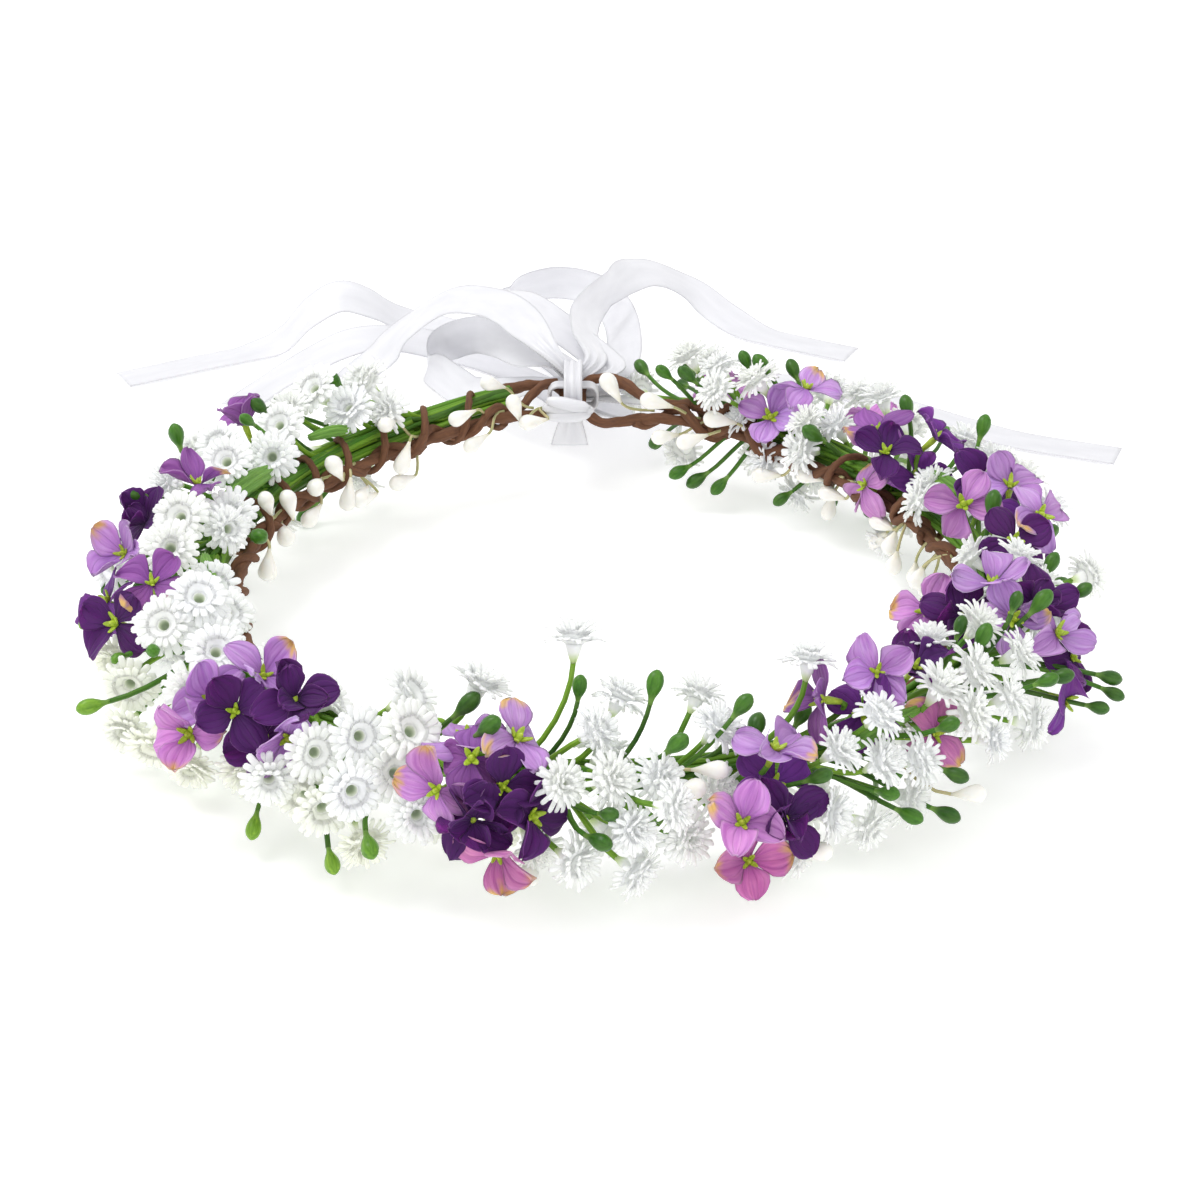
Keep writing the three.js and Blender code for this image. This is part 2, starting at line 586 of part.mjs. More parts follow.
// ---- Assembly ----------------------------------------------------------------------
const pieces = [];
const SIDES = ['left', 'right'];
SIDES.forEach((side) => pieces.push(coreWire(side), paperWrap(side)));
pieces.push(bindingWire('left', 104, 128, 3), bindingWire('right', 58, 74, 2));
SIDES.forEach((side) => CLUSTERS[side].forEach((spec) => pieces.push(hydrangeaCluster(spec, side))));
SIDES.forEach((side) => SPRAYS[side].forEach((spec, i) => {
  pieces.push(gypsophilaSpray(`gypsophila_spray_${side}_${i + 1}`, side, spec, i));
}));
SIDES.forEach((side) => BERRY_PICKS[side].forEach((spec, i) => {
  pieces.push(berryPick(`berry_pick_${side}_${i + 1}`, side, spec));
}));
pieces.push(ribbonKnot());
pieces.push(ribbonBand('ribbon_wrap', WRAP_BAND, fromCentre(TIE_X, TIE_Y - 0.8, 4.6),
  (geometry) => geometry.rotateX(Math.PI / 2), 1.5 - WRAP_BAND[0]));
pieces.push(ribbonBand('ribbon_strap', STRAP_BAND, fromCentre(TIE_X, TIE_Y, 2.2),
  (geometry) => geometry.rotateX(Math.PI / 2).rotateZ(Math.PI / 2)));
Object.entries(RIBBONS).forEach(([name, route]) => pieces.push(ribbonStrip(name, route)));

// Space that a side must keep out of: the surface below and the wedge at the front,
// which lets the left half turn by the full opening angle.
const REACH = 300;
function spaceOutside(side) {
  const floor = new THREE.BoxGeometry(2 * REACH, 2 * REACH, REACH);
  floor.translate(0, 0, -REACH / 2);
  const sign = side === 'left' ? -1 : 1;
  const spread = side === 'left' ? OPENING_SLOPE : 0;
  const [x, y] = [RING_CENTRE[0] + sign * HINGE_HALF_GAP * 0.6, RING_CENTRE[1] - HINGE_RADIUS];
  const wedge = new THREE.Shape([[0, REACH], [0, 0], [sign * spread * REACH, -REACH],
    [-sign * REACH, -REACH], [-sign * REACH, REACH]].map(([u, v]) => new THREE.Vector2(x + u, y + v)));
  const block = new THREE.ExtrudeGeometry(wedge, { depth: REACH, bevelEnabled: false });
  block.translate(0, 0, -REACH / 4);
  return [solid(floor), solid(block)];
}

function near(a, b) {
  const [p, q] = [a.boundingBox(), b.boundingBox()];
  return [0, 1, 2].every((k) => p.min[k] < q.max[k] && q.min[k] < p.max[k]);
}

function cutAway(body, zones) {
  return zones.filter((zone) => near(body, zone)).reduce((rest, zone) => rest.subtract(zone), body);
}

const OUTSIDE = { left: spaceOutside('left'), right: spaceOutside('right') };
const slenderZones = pieces.map((piece) => join(piece.slenderZone));
const fullZones = pieces.map((piece) => (piece.fullZone.length ? join(piece.fullZone) : null));

const group = new THREE.Group();
group.name = 'flower_crown';
pieces.forEach((piece, order) => {
  const earlier = slenderZones.slice(0, order).filter((_, i) => pieces[i].name !== piece.core);
  let body = cutAway(join(piece.slender), earlier);
  if (piece.full.length > 0) {
    const others = slenderZones.filter((_, i) => i !== order);
    const fuller = fullZones.slice(0, order).filter((zone) => zone !== null);
    body = body.add(cutAway(cutAway(join(piece.full), others), fuller));
    body = cutAway(body, OUTSIDE[piece.side]);
  }
  const [largest] = body.decompose().sort((a, b) => b.volume() - a.volume());
  const { vertProperties, triVerts } = largest.getMesh();
  const geometry = new THREE.BufferGeometry();
  geometry.setAttribute('position', new THREE.BufferAttribute(vertProperties, 3));
  geometry.setIndex(new THREE.BufferAttribute(triVerts, 1));
  geometry.computeVertexNormals();
  const mesh = new THREE.Mesh(geometry, piece.material);
  mesh.name = piece.name;
  group.add(mesh);
});

export default group;
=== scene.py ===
"""Flower crown: the looks. Lengths in the tables are millimetres; objects are made in metres."""
import math

import bpy
import numpy as np
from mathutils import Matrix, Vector


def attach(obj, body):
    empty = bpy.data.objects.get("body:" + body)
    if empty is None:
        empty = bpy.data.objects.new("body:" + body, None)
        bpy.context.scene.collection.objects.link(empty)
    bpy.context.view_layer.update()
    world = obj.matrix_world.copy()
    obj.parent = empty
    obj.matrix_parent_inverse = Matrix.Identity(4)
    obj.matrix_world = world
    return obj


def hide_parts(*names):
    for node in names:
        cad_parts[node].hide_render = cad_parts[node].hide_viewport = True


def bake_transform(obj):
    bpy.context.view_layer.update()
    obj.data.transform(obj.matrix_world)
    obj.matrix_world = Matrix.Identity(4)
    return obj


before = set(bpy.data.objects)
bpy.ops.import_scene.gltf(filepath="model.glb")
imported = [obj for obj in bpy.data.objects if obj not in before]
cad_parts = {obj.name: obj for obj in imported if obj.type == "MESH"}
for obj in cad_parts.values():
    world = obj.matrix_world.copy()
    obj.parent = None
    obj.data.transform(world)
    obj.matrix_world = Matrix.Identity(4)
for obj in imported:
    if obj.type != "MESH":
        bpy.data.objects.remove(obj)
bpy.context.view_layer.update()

MM = 0.001
SIDES = ("left", "right")
RANDOM = np.random.default_rng(7)

# ---- Camera, lights and world ------------------------------------------------------------
RING_CENTRE = np.array([-1.9, 1.9, 23.0])
CAMERA_DISTANCE = 780.6
CAMERA_ELEVATION = math.radians(27.9)
LENS = 88.8
SENSOR = 36.0
SHIFT = (0.0047, -0.016)
LIT_POINT = (0, 0, 0.02)


def look_at(obj, target):
    obj.rotation_euler = (Vector(target) - obj.location).to_track_quat("-Z", "Y").to_euler()


def link(obj):
    bpy.context.scene.collection.objects.link(obj)
    return obj


def make_camera():
    data = bpy.data.cameras.new("camera")
    data.lens, data.sensor_width = LENS, SENSOR
    data.shift_x, data.shift_y = SHIFT
    data.clip_start, data.clip_end = 0.05, 20
    camera = link(bpy.data.objects.new("camera", data))
    back = np.array([0, -math.cos(CAMERA_ELEVATION), math.sin(CAMERA_ELEVATION)])
    camera.location = (RING_CENTRE + back * CAMERA_DISTANCE) * MM
    look_at(camera, RING_CENTRE * MM)
    bpy.context.scene.camera = camera


def make_light(name, place, size, energy):
    data = bpy.data.lights.new(name, "AREA")
    data.shape, data.size, data.energy = "DISK", size, energy
    lamp = link(bpy.data.objects.new(name, data))
    lamp.location = place
    look_at(lamp, LIT_POINT)


make_camera()
make_light("key", (-0.55, 0.1, 1.2), 0.7, 7.0)
make_light("fill", (0.7, -0.9, 0.9), 1.2, 2.5)
world = bpy.data.worlds.new("studio")
world.use_nodes = True
world.node_tree.nodes["Background"].inputs["Color"].default_value = (1, 1, 1, 1)
world.node_tree.nodes["Background"].inputs["Strength"].default_value = 0.86
bpy.context.scene.world = world
bpy.context.scene.view_settings.view_transform = "Standard"


# ---- Materials ---------------------------------------------------------------------------
class Shader:
    """A Principled material and short calls for the nodes that feed it."""

    def __init__(self, name, **settings):
        self.material = bpy.data.materials.new(name)
        self.material.use_nodes = True
        self.tree = self.material.node_tree
        self.tree.nodes.clear()
        output = self.tree.nodes.new("ShaderNodeOutputMaterial")
        self.surface = self.tree.nodes.new("ShaderNodeBsdfPrincipled")
        self.tree.links.new(self.surface.outputs[0], output.inputs[0])
        for key, value in settings.items():
            socket = key.replace("_", " ").title().replace("Ior", "IOR")
            self.surface.inputs[socket].default_value = value

    def put(self, socket, value):
        if hasattr(value, "is_output"):
            self.tree.links.new(value, socket)
        else:
            socket.default_value = value

    def node(self, kind, inputs=(), **properties):
        made = self.tree.nodes.new("ShaderNode" + kind)
        for key, value in properties.items():
            setattr(made, key, value)
        for key, value in dict(inputs).items():
            self.put(made.inputs[key], value)
        return made

    def attribute(self, name, output="Vector"):
        return self.node("Attribute", attribute_name=name).outputs[output]

    def split(self, vector):
        return self.node("SeparateXYZ", {0: vector}).outputs

    def math(self, operation, a, b=0.0):
        return self.node("Math", {0: a, 1: b}, operation=operation).outputs[0]

    def step(self, value, low, high):
        return self.node("MapRange", {"Value": value, "From Min": low, "From Max": high},
                         interpolation_type="SMOOTHSTEP").outputs[0]

    def scaled(self, vector, scale):
        return self.node("VectorMath", {0: vector, 1: scale}, operation="MULTIPLY").outputs[0]

    def noise(self, vector, scale, detail=2.0):
        return self.node("TexNoise", {"Vector": vector, "Scale": scale, "Detail": detail}).outputs["Fac"]

    def mix(self, factor, a, b, blend="MIX"):
        made = self.node("Mix", data_type="RGBA", blend_type=blend)
        for socket, value in ((0, factor), (6, a), (7, b)):
            self.put(made.inputs[socket], value)
        return made.outputs[2]

    def shade(self, factor, low, high):
        """A grey that runs from low to high, to multiply a colour by."""
        return self.node("MapRange", {"Value": factor, "From Min": 0.25, "From Max": 0.75,
                                      "To Min": low, "To Max": high}).outputs[0]

    def toned(self, colour, factor, *ranges):
        """A colour with each of its channels multiplied by its own range of greys."""
        greys = {channel: self.shade(factor, *ends) for channel, ends in enumerate(ranges)}
        return self.mix(1.0, colour, self.node("CombineColor", greys).outputs[0], "MULTIPLY")

    def colour(self, value):
        self.put(self.surface.inputs["Base Color"], value)

    def rough(self, factor, low, high):
        self.put(self.surface.inputs["Roughness"], self.shade(factor, low, high))

    def bump(self, *layers):
        """Layers of (height, strength, distance in millimetres), coarse to fine."""
        normal = None
        for height, strength, distance in layers:
            made = self.node("Bump", {"Height": height, "Strength": strength, "Distance": distance * MM})
            if normal is not None:
                self.put(made.inputs["Normal"], normal)
            normal = made.outputs[0]
        self.put(self.surface.inputs["Normal"], normal)


def blossom_material():
    """Milky moulded plastic: white fingers with a faint painted glow, and a pale green throat and base; the
    throat's green deepens with painted shade towards its bottom.
    """
    # The emission paints a faint glow on the blossoms, in place of light passing through the milky plastic.
    s = Shader("white_blossom", subsurface_weight=0.6, subsurface_radius=(1.0, 1.0, 0.85),
               subsurface_scale=0.003, coat_weight=0.05, coat_roughness=0.3,
               emission_color=(0.97, 0.98, 1.0, 1), emission_strength=0.08)
    mark = s.attribute("mark")
    _, height, inside = s.split(mark)
    cloud = s.noise(mark, 0.45)
    base = s.toned(s.attribute("dye", "Color"), cloud, (0.97, 1.0), (0.985, 1.0), (0.96, 1.0))
    # Painted shade: the throat's own pale green darkens to a deep green towards the bottom of the throat,
    # where shade falls.
    throat_green_and_painted_shade = s.mix(s.step(height, -3.9, -0.8), (0.16, 0.26, 0.06, 1), (0.80, 0.84, 0.70, 1))
    base = s.mix(s.math("MULTIPLY", inside, 0.9), base, throat_green_and_painted_shade)
    stalk = s.math("MULTIPLY", s.step(height, -5.0, -8.2), s.math("SUBTRACT", 1.0, inside))
    s.colour(s.mix(stalk, base, (0.46, 0.60, 0.20, 1)))
    grain = s.noise(mark, 2.6, 3.0)
    s.rough(grain, 0.38, 0.55)
    s.bump((cloud, 0.25, 0.35), (grain, 0.2, 0.08))
    return s.material


def cloth_material():
    """Dyed petal cloth: pressed veins with painted highlights and shade in streaks along them, a weave, a
    frayed pale edge and, on some, an ochre tip.
    """
    s = Shader("hydrangea_cloth", sheen_weight=0.06, sheen_roughness=0.4,
               subsurface_weight=0.18, subsurface_radius=(1.0, 0.6, 1.0), subsurface_scale=0.001)
    mark = s.attribute("mark")
    length, across, _ = s.split(mark)
    dye, ochre = s.attribute("dye", "Color"), s.attribute("dye", "Alpha")
    vein_noise_and_painted_shade = s.noise(s.scaled(mark, (0.9, 3.4, 60.0)), 1.5, 4.0)
    blotch = s.noise(s.scaled(mark, (2.0, 1.6, 40.0)), 1.2, 1.0)
    # Painted highlights and shade: the vein noise makes paler, whiter streaks and deeper ones in the
    # colour, standing in for light on the cloth and shade in its folds.
    base = s.toned(dye, vein_noise_and_painted_shade, (0.66, 1.16), (0.46, 1.30), (0.74, 1.13))
    base = s.mix(s.shade(blotch, 0.0, 0.35), base, s.mix(1.0, dye, (1.12, 0.78, 0.98, 1), "MULTIPLY"))
    heart = s.math("MULTIPLY", s.step(length, 0.55, 0.05), 0.75)
    base = s.mix(heart, base, s.mix(1.0, dye, (0.62, 0.42, 0.72, 1), "MULTIPLY"))
    stained = s.step(s.math("ADD", length, s.math("MULTIPLY", blotch, 0.6)), 0.98, 1.30)
    tip = s.math("MULTIPLY", stained, ochre)
    base = s.mix(tip, base, (0.74, 0.46, 0.15, 1))
    side = s.step(s.math("ABSOLUTE", across), 0.93, 1.0)
    edge = s.math("MAXIMUM", side, s.step(length, 0.968, 1.0))
    fray = s.math("MULTIPLY", edge, s.shade(s.noise(s.scaled(mark, (60.0, 4.0, 9.0)), 1.0), 0.2, 0.8))
    pale = s.node("Gamma", {"Color": dye, "Gamma": 0.55}).outputs[0]
    s.colour(s.mix(fray, base, pale))
    s.rough(vein_noise_and_painted_shade, 0.72, 0.9)
    weave = s.math("MULTIPLY", s.math("SINE", s.math("MULTIPLY", length, 190.0)),
                   s.math("SINE", s.math("MULTIPLY", across, 95.0)))
    vein = s.math("POWER", s.math("ABSOLUTE", s.math("COSINE", s.math("MULTIPLY", across, 7.8))), 0.4)
    s.bump((vein, 0.7, 0.35), (vein_noise_and_painted_shade, 0.7, 0.4), (weave, 0.16, 0.07))
    return s.material


def green_material(name, roughness, streak, coat, tint, neck=False):
    """Moulded green plastic with long streaks; the tone of each stem is in its dye."""
    s = Shader(name, coat_weight=coat, coat_roughness=0.25, specular_ior_level=0.2,
               subsurface_weight=0.06, subsurface_radius=(0.6, 1.0, 0.3), subsurface_scale=0.0008)
    mark = s.attribute("mark")
    long = s.noise(s.scaled(mark, (0.05, streak, streak)), 1.6, 3.0)
    patch = s.noise(s.scaled(mark, (0.12, 0.4, 0.4)), 1.0, 2.0)
    base = s.toned(s.attribute("dye", "Color"), long, (0.50, 1.60), (0.62, 1.36), (0.50, 1.40))
    base = s.mix(s.shade(patch, 0.0, tint), base, (0.20, 0.34, 0.05, 1))
    if neck:
        base = s.mix(s.step(s.split(mark)[0], 1.6, -1.6), base, (0.17, 0.32, 0.06, 1))
    s.colour(base)
    s.rough(patch, roughness, roughness + 0.14)
    s.bump((long, 0.5, 0.18), (s.noise(mark, 3.0, 3.0), 0.12, 0.05))
    return s.material


def lime_material():
    s = Shader("lime_calyx", subsurface_weight=0.15, subsurface_radius=(1.0, 1.0, 0.3),
               subsurface_scale=0.001, coat_weight=0.15)
    mark = s.attribute("mark")
    speck = s.noise(mark, 1.4, 3.0)
    s.colour(s.mix(s.shade(speck, 0.0, 1.0), (0.30, 0.46, 0.02, 1), (0.54, 0.67, 0.06, 1)))
    s.rough(speck, 0.35, 0.55)
    s.bump((speck, 0.4, 0.12))
    return s.material


def berry_material():
    s = Shader("cream_berry", subsurface_weight=0.3, subsurface_radius=(1.0, 0.9, 0.7),
               subsurface_scale=0.0012, coat_weight=0.4, coat_roughness=0.18)
    mark = s.attribute("mark")
    cloud = s.noise(s.scaled(mark, (0.35, 0.5, 0.5)), 1.0, 3.0)
    base = s.mix(s.shade(cloud, 0.0, 1.0), (0.90, 0.87, 0.80, 1), (0.95, 0.94, 0.90, 1))
    neck = s.math("MULTIPLY", s.step(s.split(mark)[0], 4.0, 0.0), 0.55)
    s.colour(s.mix(neck, base, (0.66, 0.62, 0.42, 1)))
    s.rough(cloud, 0.24, 0.4)
    s.bump((cloud, 0.25, 0.2), (s.noise(mark, 3.0, 2.0), 0.1, 0.04))
    return s.material


def paper_material():
    """Crinkled paper wound tight round a wire."""
    s = Shader("brown_paper")
    mark = s.attribute("mark")
    fibre = s.noise(s.scaled(mark, (0.5, 2.4, 2.4)), 1.5, 5.0)
    creases_and_painted_shade = s.noise(s.scaled(mark, (0.12, 0.9, 0.9)), 1.3, 3.0)
    # Painted shade: the colour darkens where the crease noise sinks the bump, so the creases' hollows are
    # painted darker.
    base = s.mix(s.shade(creases_and_painted_shade, 0.0, 1.0), (0.060, 0.020, 0.009, 1), (0.175, 0.070, 0.030, 1))
    s.colour(s.mix(s.shade(fibre, 0.0, 0.45), base, (0.25, 0.115, 0.055, 1)))
    s.rough(fibre, 0.7, 0.92)
    s.bump((creases_and_painted_shade, 0.5, 0.4), (fibre, 0.6, 0.16))
    return s.material


def steel_material():
    s = Shader("steel_wire", metallic=1.0)
    drawn = s.noise(s.scaled(s.attribute("mark"), (0.2, 5.0, 5.0)), 2.0, 3.0)
    s.colour(s.mix(s.shade(drawn, 0.0, 1.0), (0.16, 0.15, 0.14, 1), (0.46, 0.45, 0.43, 1)))
    s.rough(drawn, 0.25, 0.5)
    s.bump((drawn, 0.4, 0.05))
    return s.material


RIBBON_HALF = 6.0


def satin_material():
    """White satin ribbon: fine ribs across it, a soft sheen and a stitched edge."""
    s = Shader("satin_ribbon", sheen_weight=0.35, sheen_roughness=0.3, subsurface_weight=0.2,
               subsurface_radius=(1.0, 1.0, 1.0), subsurface_scale=0.002)
    mark = s.attribute("mark")
    along, across, _ = s.split(mark)
    cloud = s.noise(s.scaled(mark, (0.05, 0.2, 1.0)), 1.2, 2.0)
    thread = s.noise(s.scaled(mark, (4.0, 0.35, 1.0)), 1.5, 2.0)
    edge = s.step(s.math("ABSOLUTE", across), RIBBON_HALF * 0.90, RIBBON_HALF * 0.97)
    stitch = s.math("SINE", s.math("MULTIPLY", along, 7.5))
    base = s.mix(s.shade(cloud, 0.0, 1.0), (0.71, 0.71, 0.745, 1), (0.81, 0.81, 0.845, 1))
    base = s.mix(s.shade(thread, 0.0, 0.25), base, (0.67, 0.67, 0.715, 1))
    s.colour(s.mix(s.math("MULTIPLY", edge, s.shade(stitch, 0.1, 0.4)), base, (0.58, 0.58, 0.63, 1)))
    s.rough(thread, 0.28, 0.42)
    seam = s.math("MULTIPLY", edge, s.math("ADD", 1.2, s.math("MULTIPLY", stitch, 0.6)))
    s.bump((seam, 0.5, 0.25), (thread, 0.2, 0.05))
    return s.material


def floor_material():
    return Shader("floor", base_color=(0.86, 0.86, 0.86, 1), roughness=0.7,
                  emission_color=(1, 1, 1, 1), emission_strength=0.38).material


MATERIALS = {
    "white_blossom": blossom_material(),
    "hydrangea_cloth": cloth_material(),
    "green_stem": green_material("green_stem", 0.34, 1.8, 0.07, 0.35),
    "green_bud": green_material("green_bud", 0.28, 0.9, 0.2, 0.2, True),
    "lime_calyx": lime_material(),
    "cream_berry": berry_material(),
    "brown_paper": paper_material(),
    "steel_wire": steel_material(),
    "satin_ribbon": satin_material(),
}


# ---- Geometry ----------------------------------------------------------------------------
def unit(vector):
    vector = np.asarray(vector, float)
    return vector / np.linalg.norm(vector)


def turned_to(direction, spin=0.0):
    """A 3x3 turn that takes +Z to a direction, after a spin about +Z."""
    z = unit(direction)
    x = unit(np.cross(z, (0, 0, 1) if abs(z[2]) < 0.95 else (0, 1, 0)))
    y = np.cross(z, x)
    c, s = math.cos(spin), math.sin(spin)
    return np.stack([c * x + s * y, c * y - s * x, z], axis=1)


def smooth_path(points, step):
    """Points about a step apart on a smooth curve through the given ones."""
    points = np.asarray(points, float)
    ends = np.vstack([2 * points[0] - points[1], points, 2 * points[-1] - points[-2]])
    made = []
    for i in range(len(points) - 1):
        a, b, c, d = ends[i:i + 4]
        count = max(1, round(np.linalg.norm(c - b) / step))
        t = (np.arange(count) / count)[:, None]
        made.append(0.5 * (2 * b + (c - a) * t + (2 * a - 5 * b + 4 * c - d) * t ** 2
                           + (3 * b - 3 * c + d - a) * t ** 3))
    return np.vstack(made + [points[-1:]])


def lengths_along(path):
    return np.concatenate([[0.0], np.cumsum(np.linalg.norm(np.diff(path, axis=0), axis=1))])


def units(rows):
    return rows / np.linalg.norm(rows, axis=1)[:, None]


def headings(path):
    return units(np.gradient(path, axis=0))


def both_faces(top, bottom):
    """A closed section from the rows of its top and, run back, of its bottom."""
    return np.concatenate([top, bottom[:, ::-1]], axis=1)


def loft(sections, marks):
    """A closed form through a row of closed sections, (stations, sides, 3). Faces are rows of
    four points; a triangle's last is -1."""
    stations, sides, _ = sections.shape
    order = np.arange(stations * sides).reshape(stations, sides)
    near, far = order[:-1], order[1:]
    walls = np.stack([near, np.roll(near, -1, 1), np.roll(far, -1, 1), far], -1).reshape(-1, 4)
    first, last = order[0], order[-1]
    middle = stations * sides
    blank = np.full(sides, -1)
    lids = np.vstack([
        np.stack([np.full(sides, middle), np.roll(first, -1), first, blank], -1),
        np.stack([np.full(sides, middle + 1), last, np.roll(last, -1), blank], -1)])
    points = np.vstack([sections.reshape(-1, 3), sections[0].mean(0), sections[-1].mean(0)])
    marks = np.vstack([marks.reshape(-1, 3), marks[0].mean(0), marks[-1].mean(0)])
    faces = np.vstack([walls, lids])
    a, b, c = (points[walls[:, k]] for k in (0, 1, 2))
    d = points[walls[:, 3]]
    volume = np.einsum("ij,ij->", a, np.cross(b, c)) + np.einsum("ij,ij->", a, np.cross(c, d))
    if volume < 0:
        flipped = faces[:, [2, 1, 0, 3]].copy()
        quads = faces[:, 3] >= 0
        flipped[quads] = faces[quads][:, ::-1]
        faces = flipped
    return points, faces, marks


def joined(forms):
    points, faces, marks, count = [], [], [], 0
    for form in forms:
        points.append(form[0])
        faces.append(np.where(form[1] < 0, -1, form[1] + count))
        marks.append(form[2])
        count += len(form[0])
    return np.vstack(points), np.vstack(faces), np.vstack(marks)


def tube(path, radius, sides, lobes=0, lobe=0.0, twist=0.0):
    """A tube along a path. Its marks are (length, and place in the section), as if it were straight."""
    path = np.asarray(path, float)
    heading = headings(path)
    side = unit(np.cross(heading[0], (0.3, 0.2, 1.0)))
    across = []
    for h in heading:
        side = unit(side - h * side.dot(h))
        across.append(side)
    across = np.array(across)[:, None, :]
    up = np.cross(heading[:, None, :], across)
    run = lengths_along(path)[:, None]
    phi = np.linspace(0, 2 * math.pi, sides, endpoint=False)[None, :]
    reach = np.broadcast_to(np.asarray(radius, float).reshape(-1, 1), (len(path), 1)) \
        * (1 + lobe * np.cos(lobes * phi - twist * run))
    x, y = reach * np.cos(phi), reach * np.sin(phi)
    sections = path[:, None, :] + x[..., None] * across + y[..., None] * up
    marks = np.stack([np.broadcast_to(run, x.shape), x, y], -1)
    return loft(sections, marks)


def turned(profile, sides, lobes=0, lobe=0.0, inner_from=None):
    """A form turned about +Z. With inner_from, marks are (radius, height, inside)."""
    profile = np.asarray(profile, float)
    phi = np.linspace(0, 2 * math.pi, sides, endpoint=False)[None, :]
    reach = profile[:, :1] * (1 + lobe * np.cos(lobes * phi))
    height = np.broadcast_to(profile[:, 1:2], reach.shape)
    x, y = reach * np.cos(phi), reach * np.sin(phi)
    if inner_from is None:
        marks = np.stack([height, x, y], -1)
    else:
        inside = (np.arange(len(profile)) >= inner_from)[:, None] * np.ones_like(x)
        marks = np.stack([reach, height, inside], -1)
    return loft(np.stack([x, y, height], -1), marks)


class Skin:
    """Gathers forms into one piece of one material."""

    def __init__(self):
        self.forms, self.dyes = [], []

    def add(self, form, dye=(1, 1, 1, 0), turn=None, place=(0, 0, 0), scale=1.0):
        points, faces, marks = form
        if turn is not None:
            points = points @ turn.T * scale + place
        self.forms.append((points, faces, marks))
        self.dyes.append(np.broadcast_to(np.asarray(dye, float), (len(points), 4)))

    def piece(self, name, material_slot, node):
        """The piece, which stands for the named node or for a part of it."""
        points, faces, marks = joined(self.forms)
        mesh = bpy.data.meshes.new(name)
        rows = [row if row[3] >= 0 else row[:3] for row in faces.tolist()]
        mesh.from_pydata((points * MM).tolist(), [], rows)
        mark = mesh.attributes.new("mark", "FLOAT_VECTOR", "POINT")
        mark.data.foreach_set("vector", marks.astype(np.float32).ravel())
        dye = mesh.attributes.new("dye", "FLOAT_COLOR", "POINT")
        dye.data.foreach_set("color", np.vstack(self.dyes).astype(np.float32).ravel())
        mesh.shade_smooth()
        mesh.materials.append(MATERIALS[material_slot])
        made = link(bpy.data.objects.new(name, mesh))
        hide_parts(node)
        return made


# ---- Places ------------------------------------------------------------------------------
PADDING_RADIUS = 108.0      # centre circle of the ring of flowers
# The ring wire's middle line: angle, radius and rise.
RING_SHAPE = np.array([
    [-90, 95, 0], [-45, 96, 0], [0, 97, 0], [20, 93.5, 0], [40, 91.5, 0], [52, 94, 0],
    [63, 98, 0.5], [76, 102, 1.5], [104, 102.5, 2.5], [109, 100.5, 2], [116, 98.5, 1],
    [126, 97, 0.5], [141, 95.5, 0], [160, 94, 0], [183, 94, 0], [227, 95, 0], [270, 95, 0]])


def outward(angle, tilt=0.0):
    a, t = math.radians(angle), math.radians(tilt)
    return np.array([math.cos(t) * math.cos(a), math.cos(t) * math.sin(a), math.sin(t)])


def along(angle):
    return outward(angle + 90)


def from_centre(x, y, rise):
    return RING_CENTRE + (x, y, rise)


def lane(angle, out, up):
    """A point beside the ring wire, given outward and up from it."""
    turned_angle = (angle + 90) % 360 - 90
    radius = np.interp(turned_angle, RING_SHAPE[:, 0], RING_SHAPE[:, 1]) + out
    rise = np.interp(turned_angle, RING_SHAPE[:, 0], RING_SHAPE[:, 2]) + up
    arm = outward(angle) * radius
    return from_centre(arm[0], arm[1], rise)


def flower_at(angle, tilt, depth):
    t = math.radians(tilt)
    arm = outward(angle) * (PADDING_RADIUS + depth * math.cos(t))
    return from_centre(arm[0], arm[1], depth * math.sin(t))


# ---- Bodies ------------------------------------------------------------------------------
HINGE_X = RING_CENTRE[0]
BLEND_HALF = 30.0           # the crown bends over this distance each side of its front


def ride(piece, side):
    """The piece's transform is baked into its mesh and it goes on neither half if it reaches the front of
    the crown, and else it rides its half.
    """
    spots = np.empty(len(piece.data.vertices) * 3, np.float32)
    piece.data.vertices.foreach_get("co", spots)
    x, y = spots[0::3] / MM, spots[1::3] / MM
    near_front = (y < 0) & (np.abs(x - HINGE_X) < BLEND_HALF)
    if near_front.any():
        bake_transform(piece)
    else:
        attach(piece, f"{side}_half")


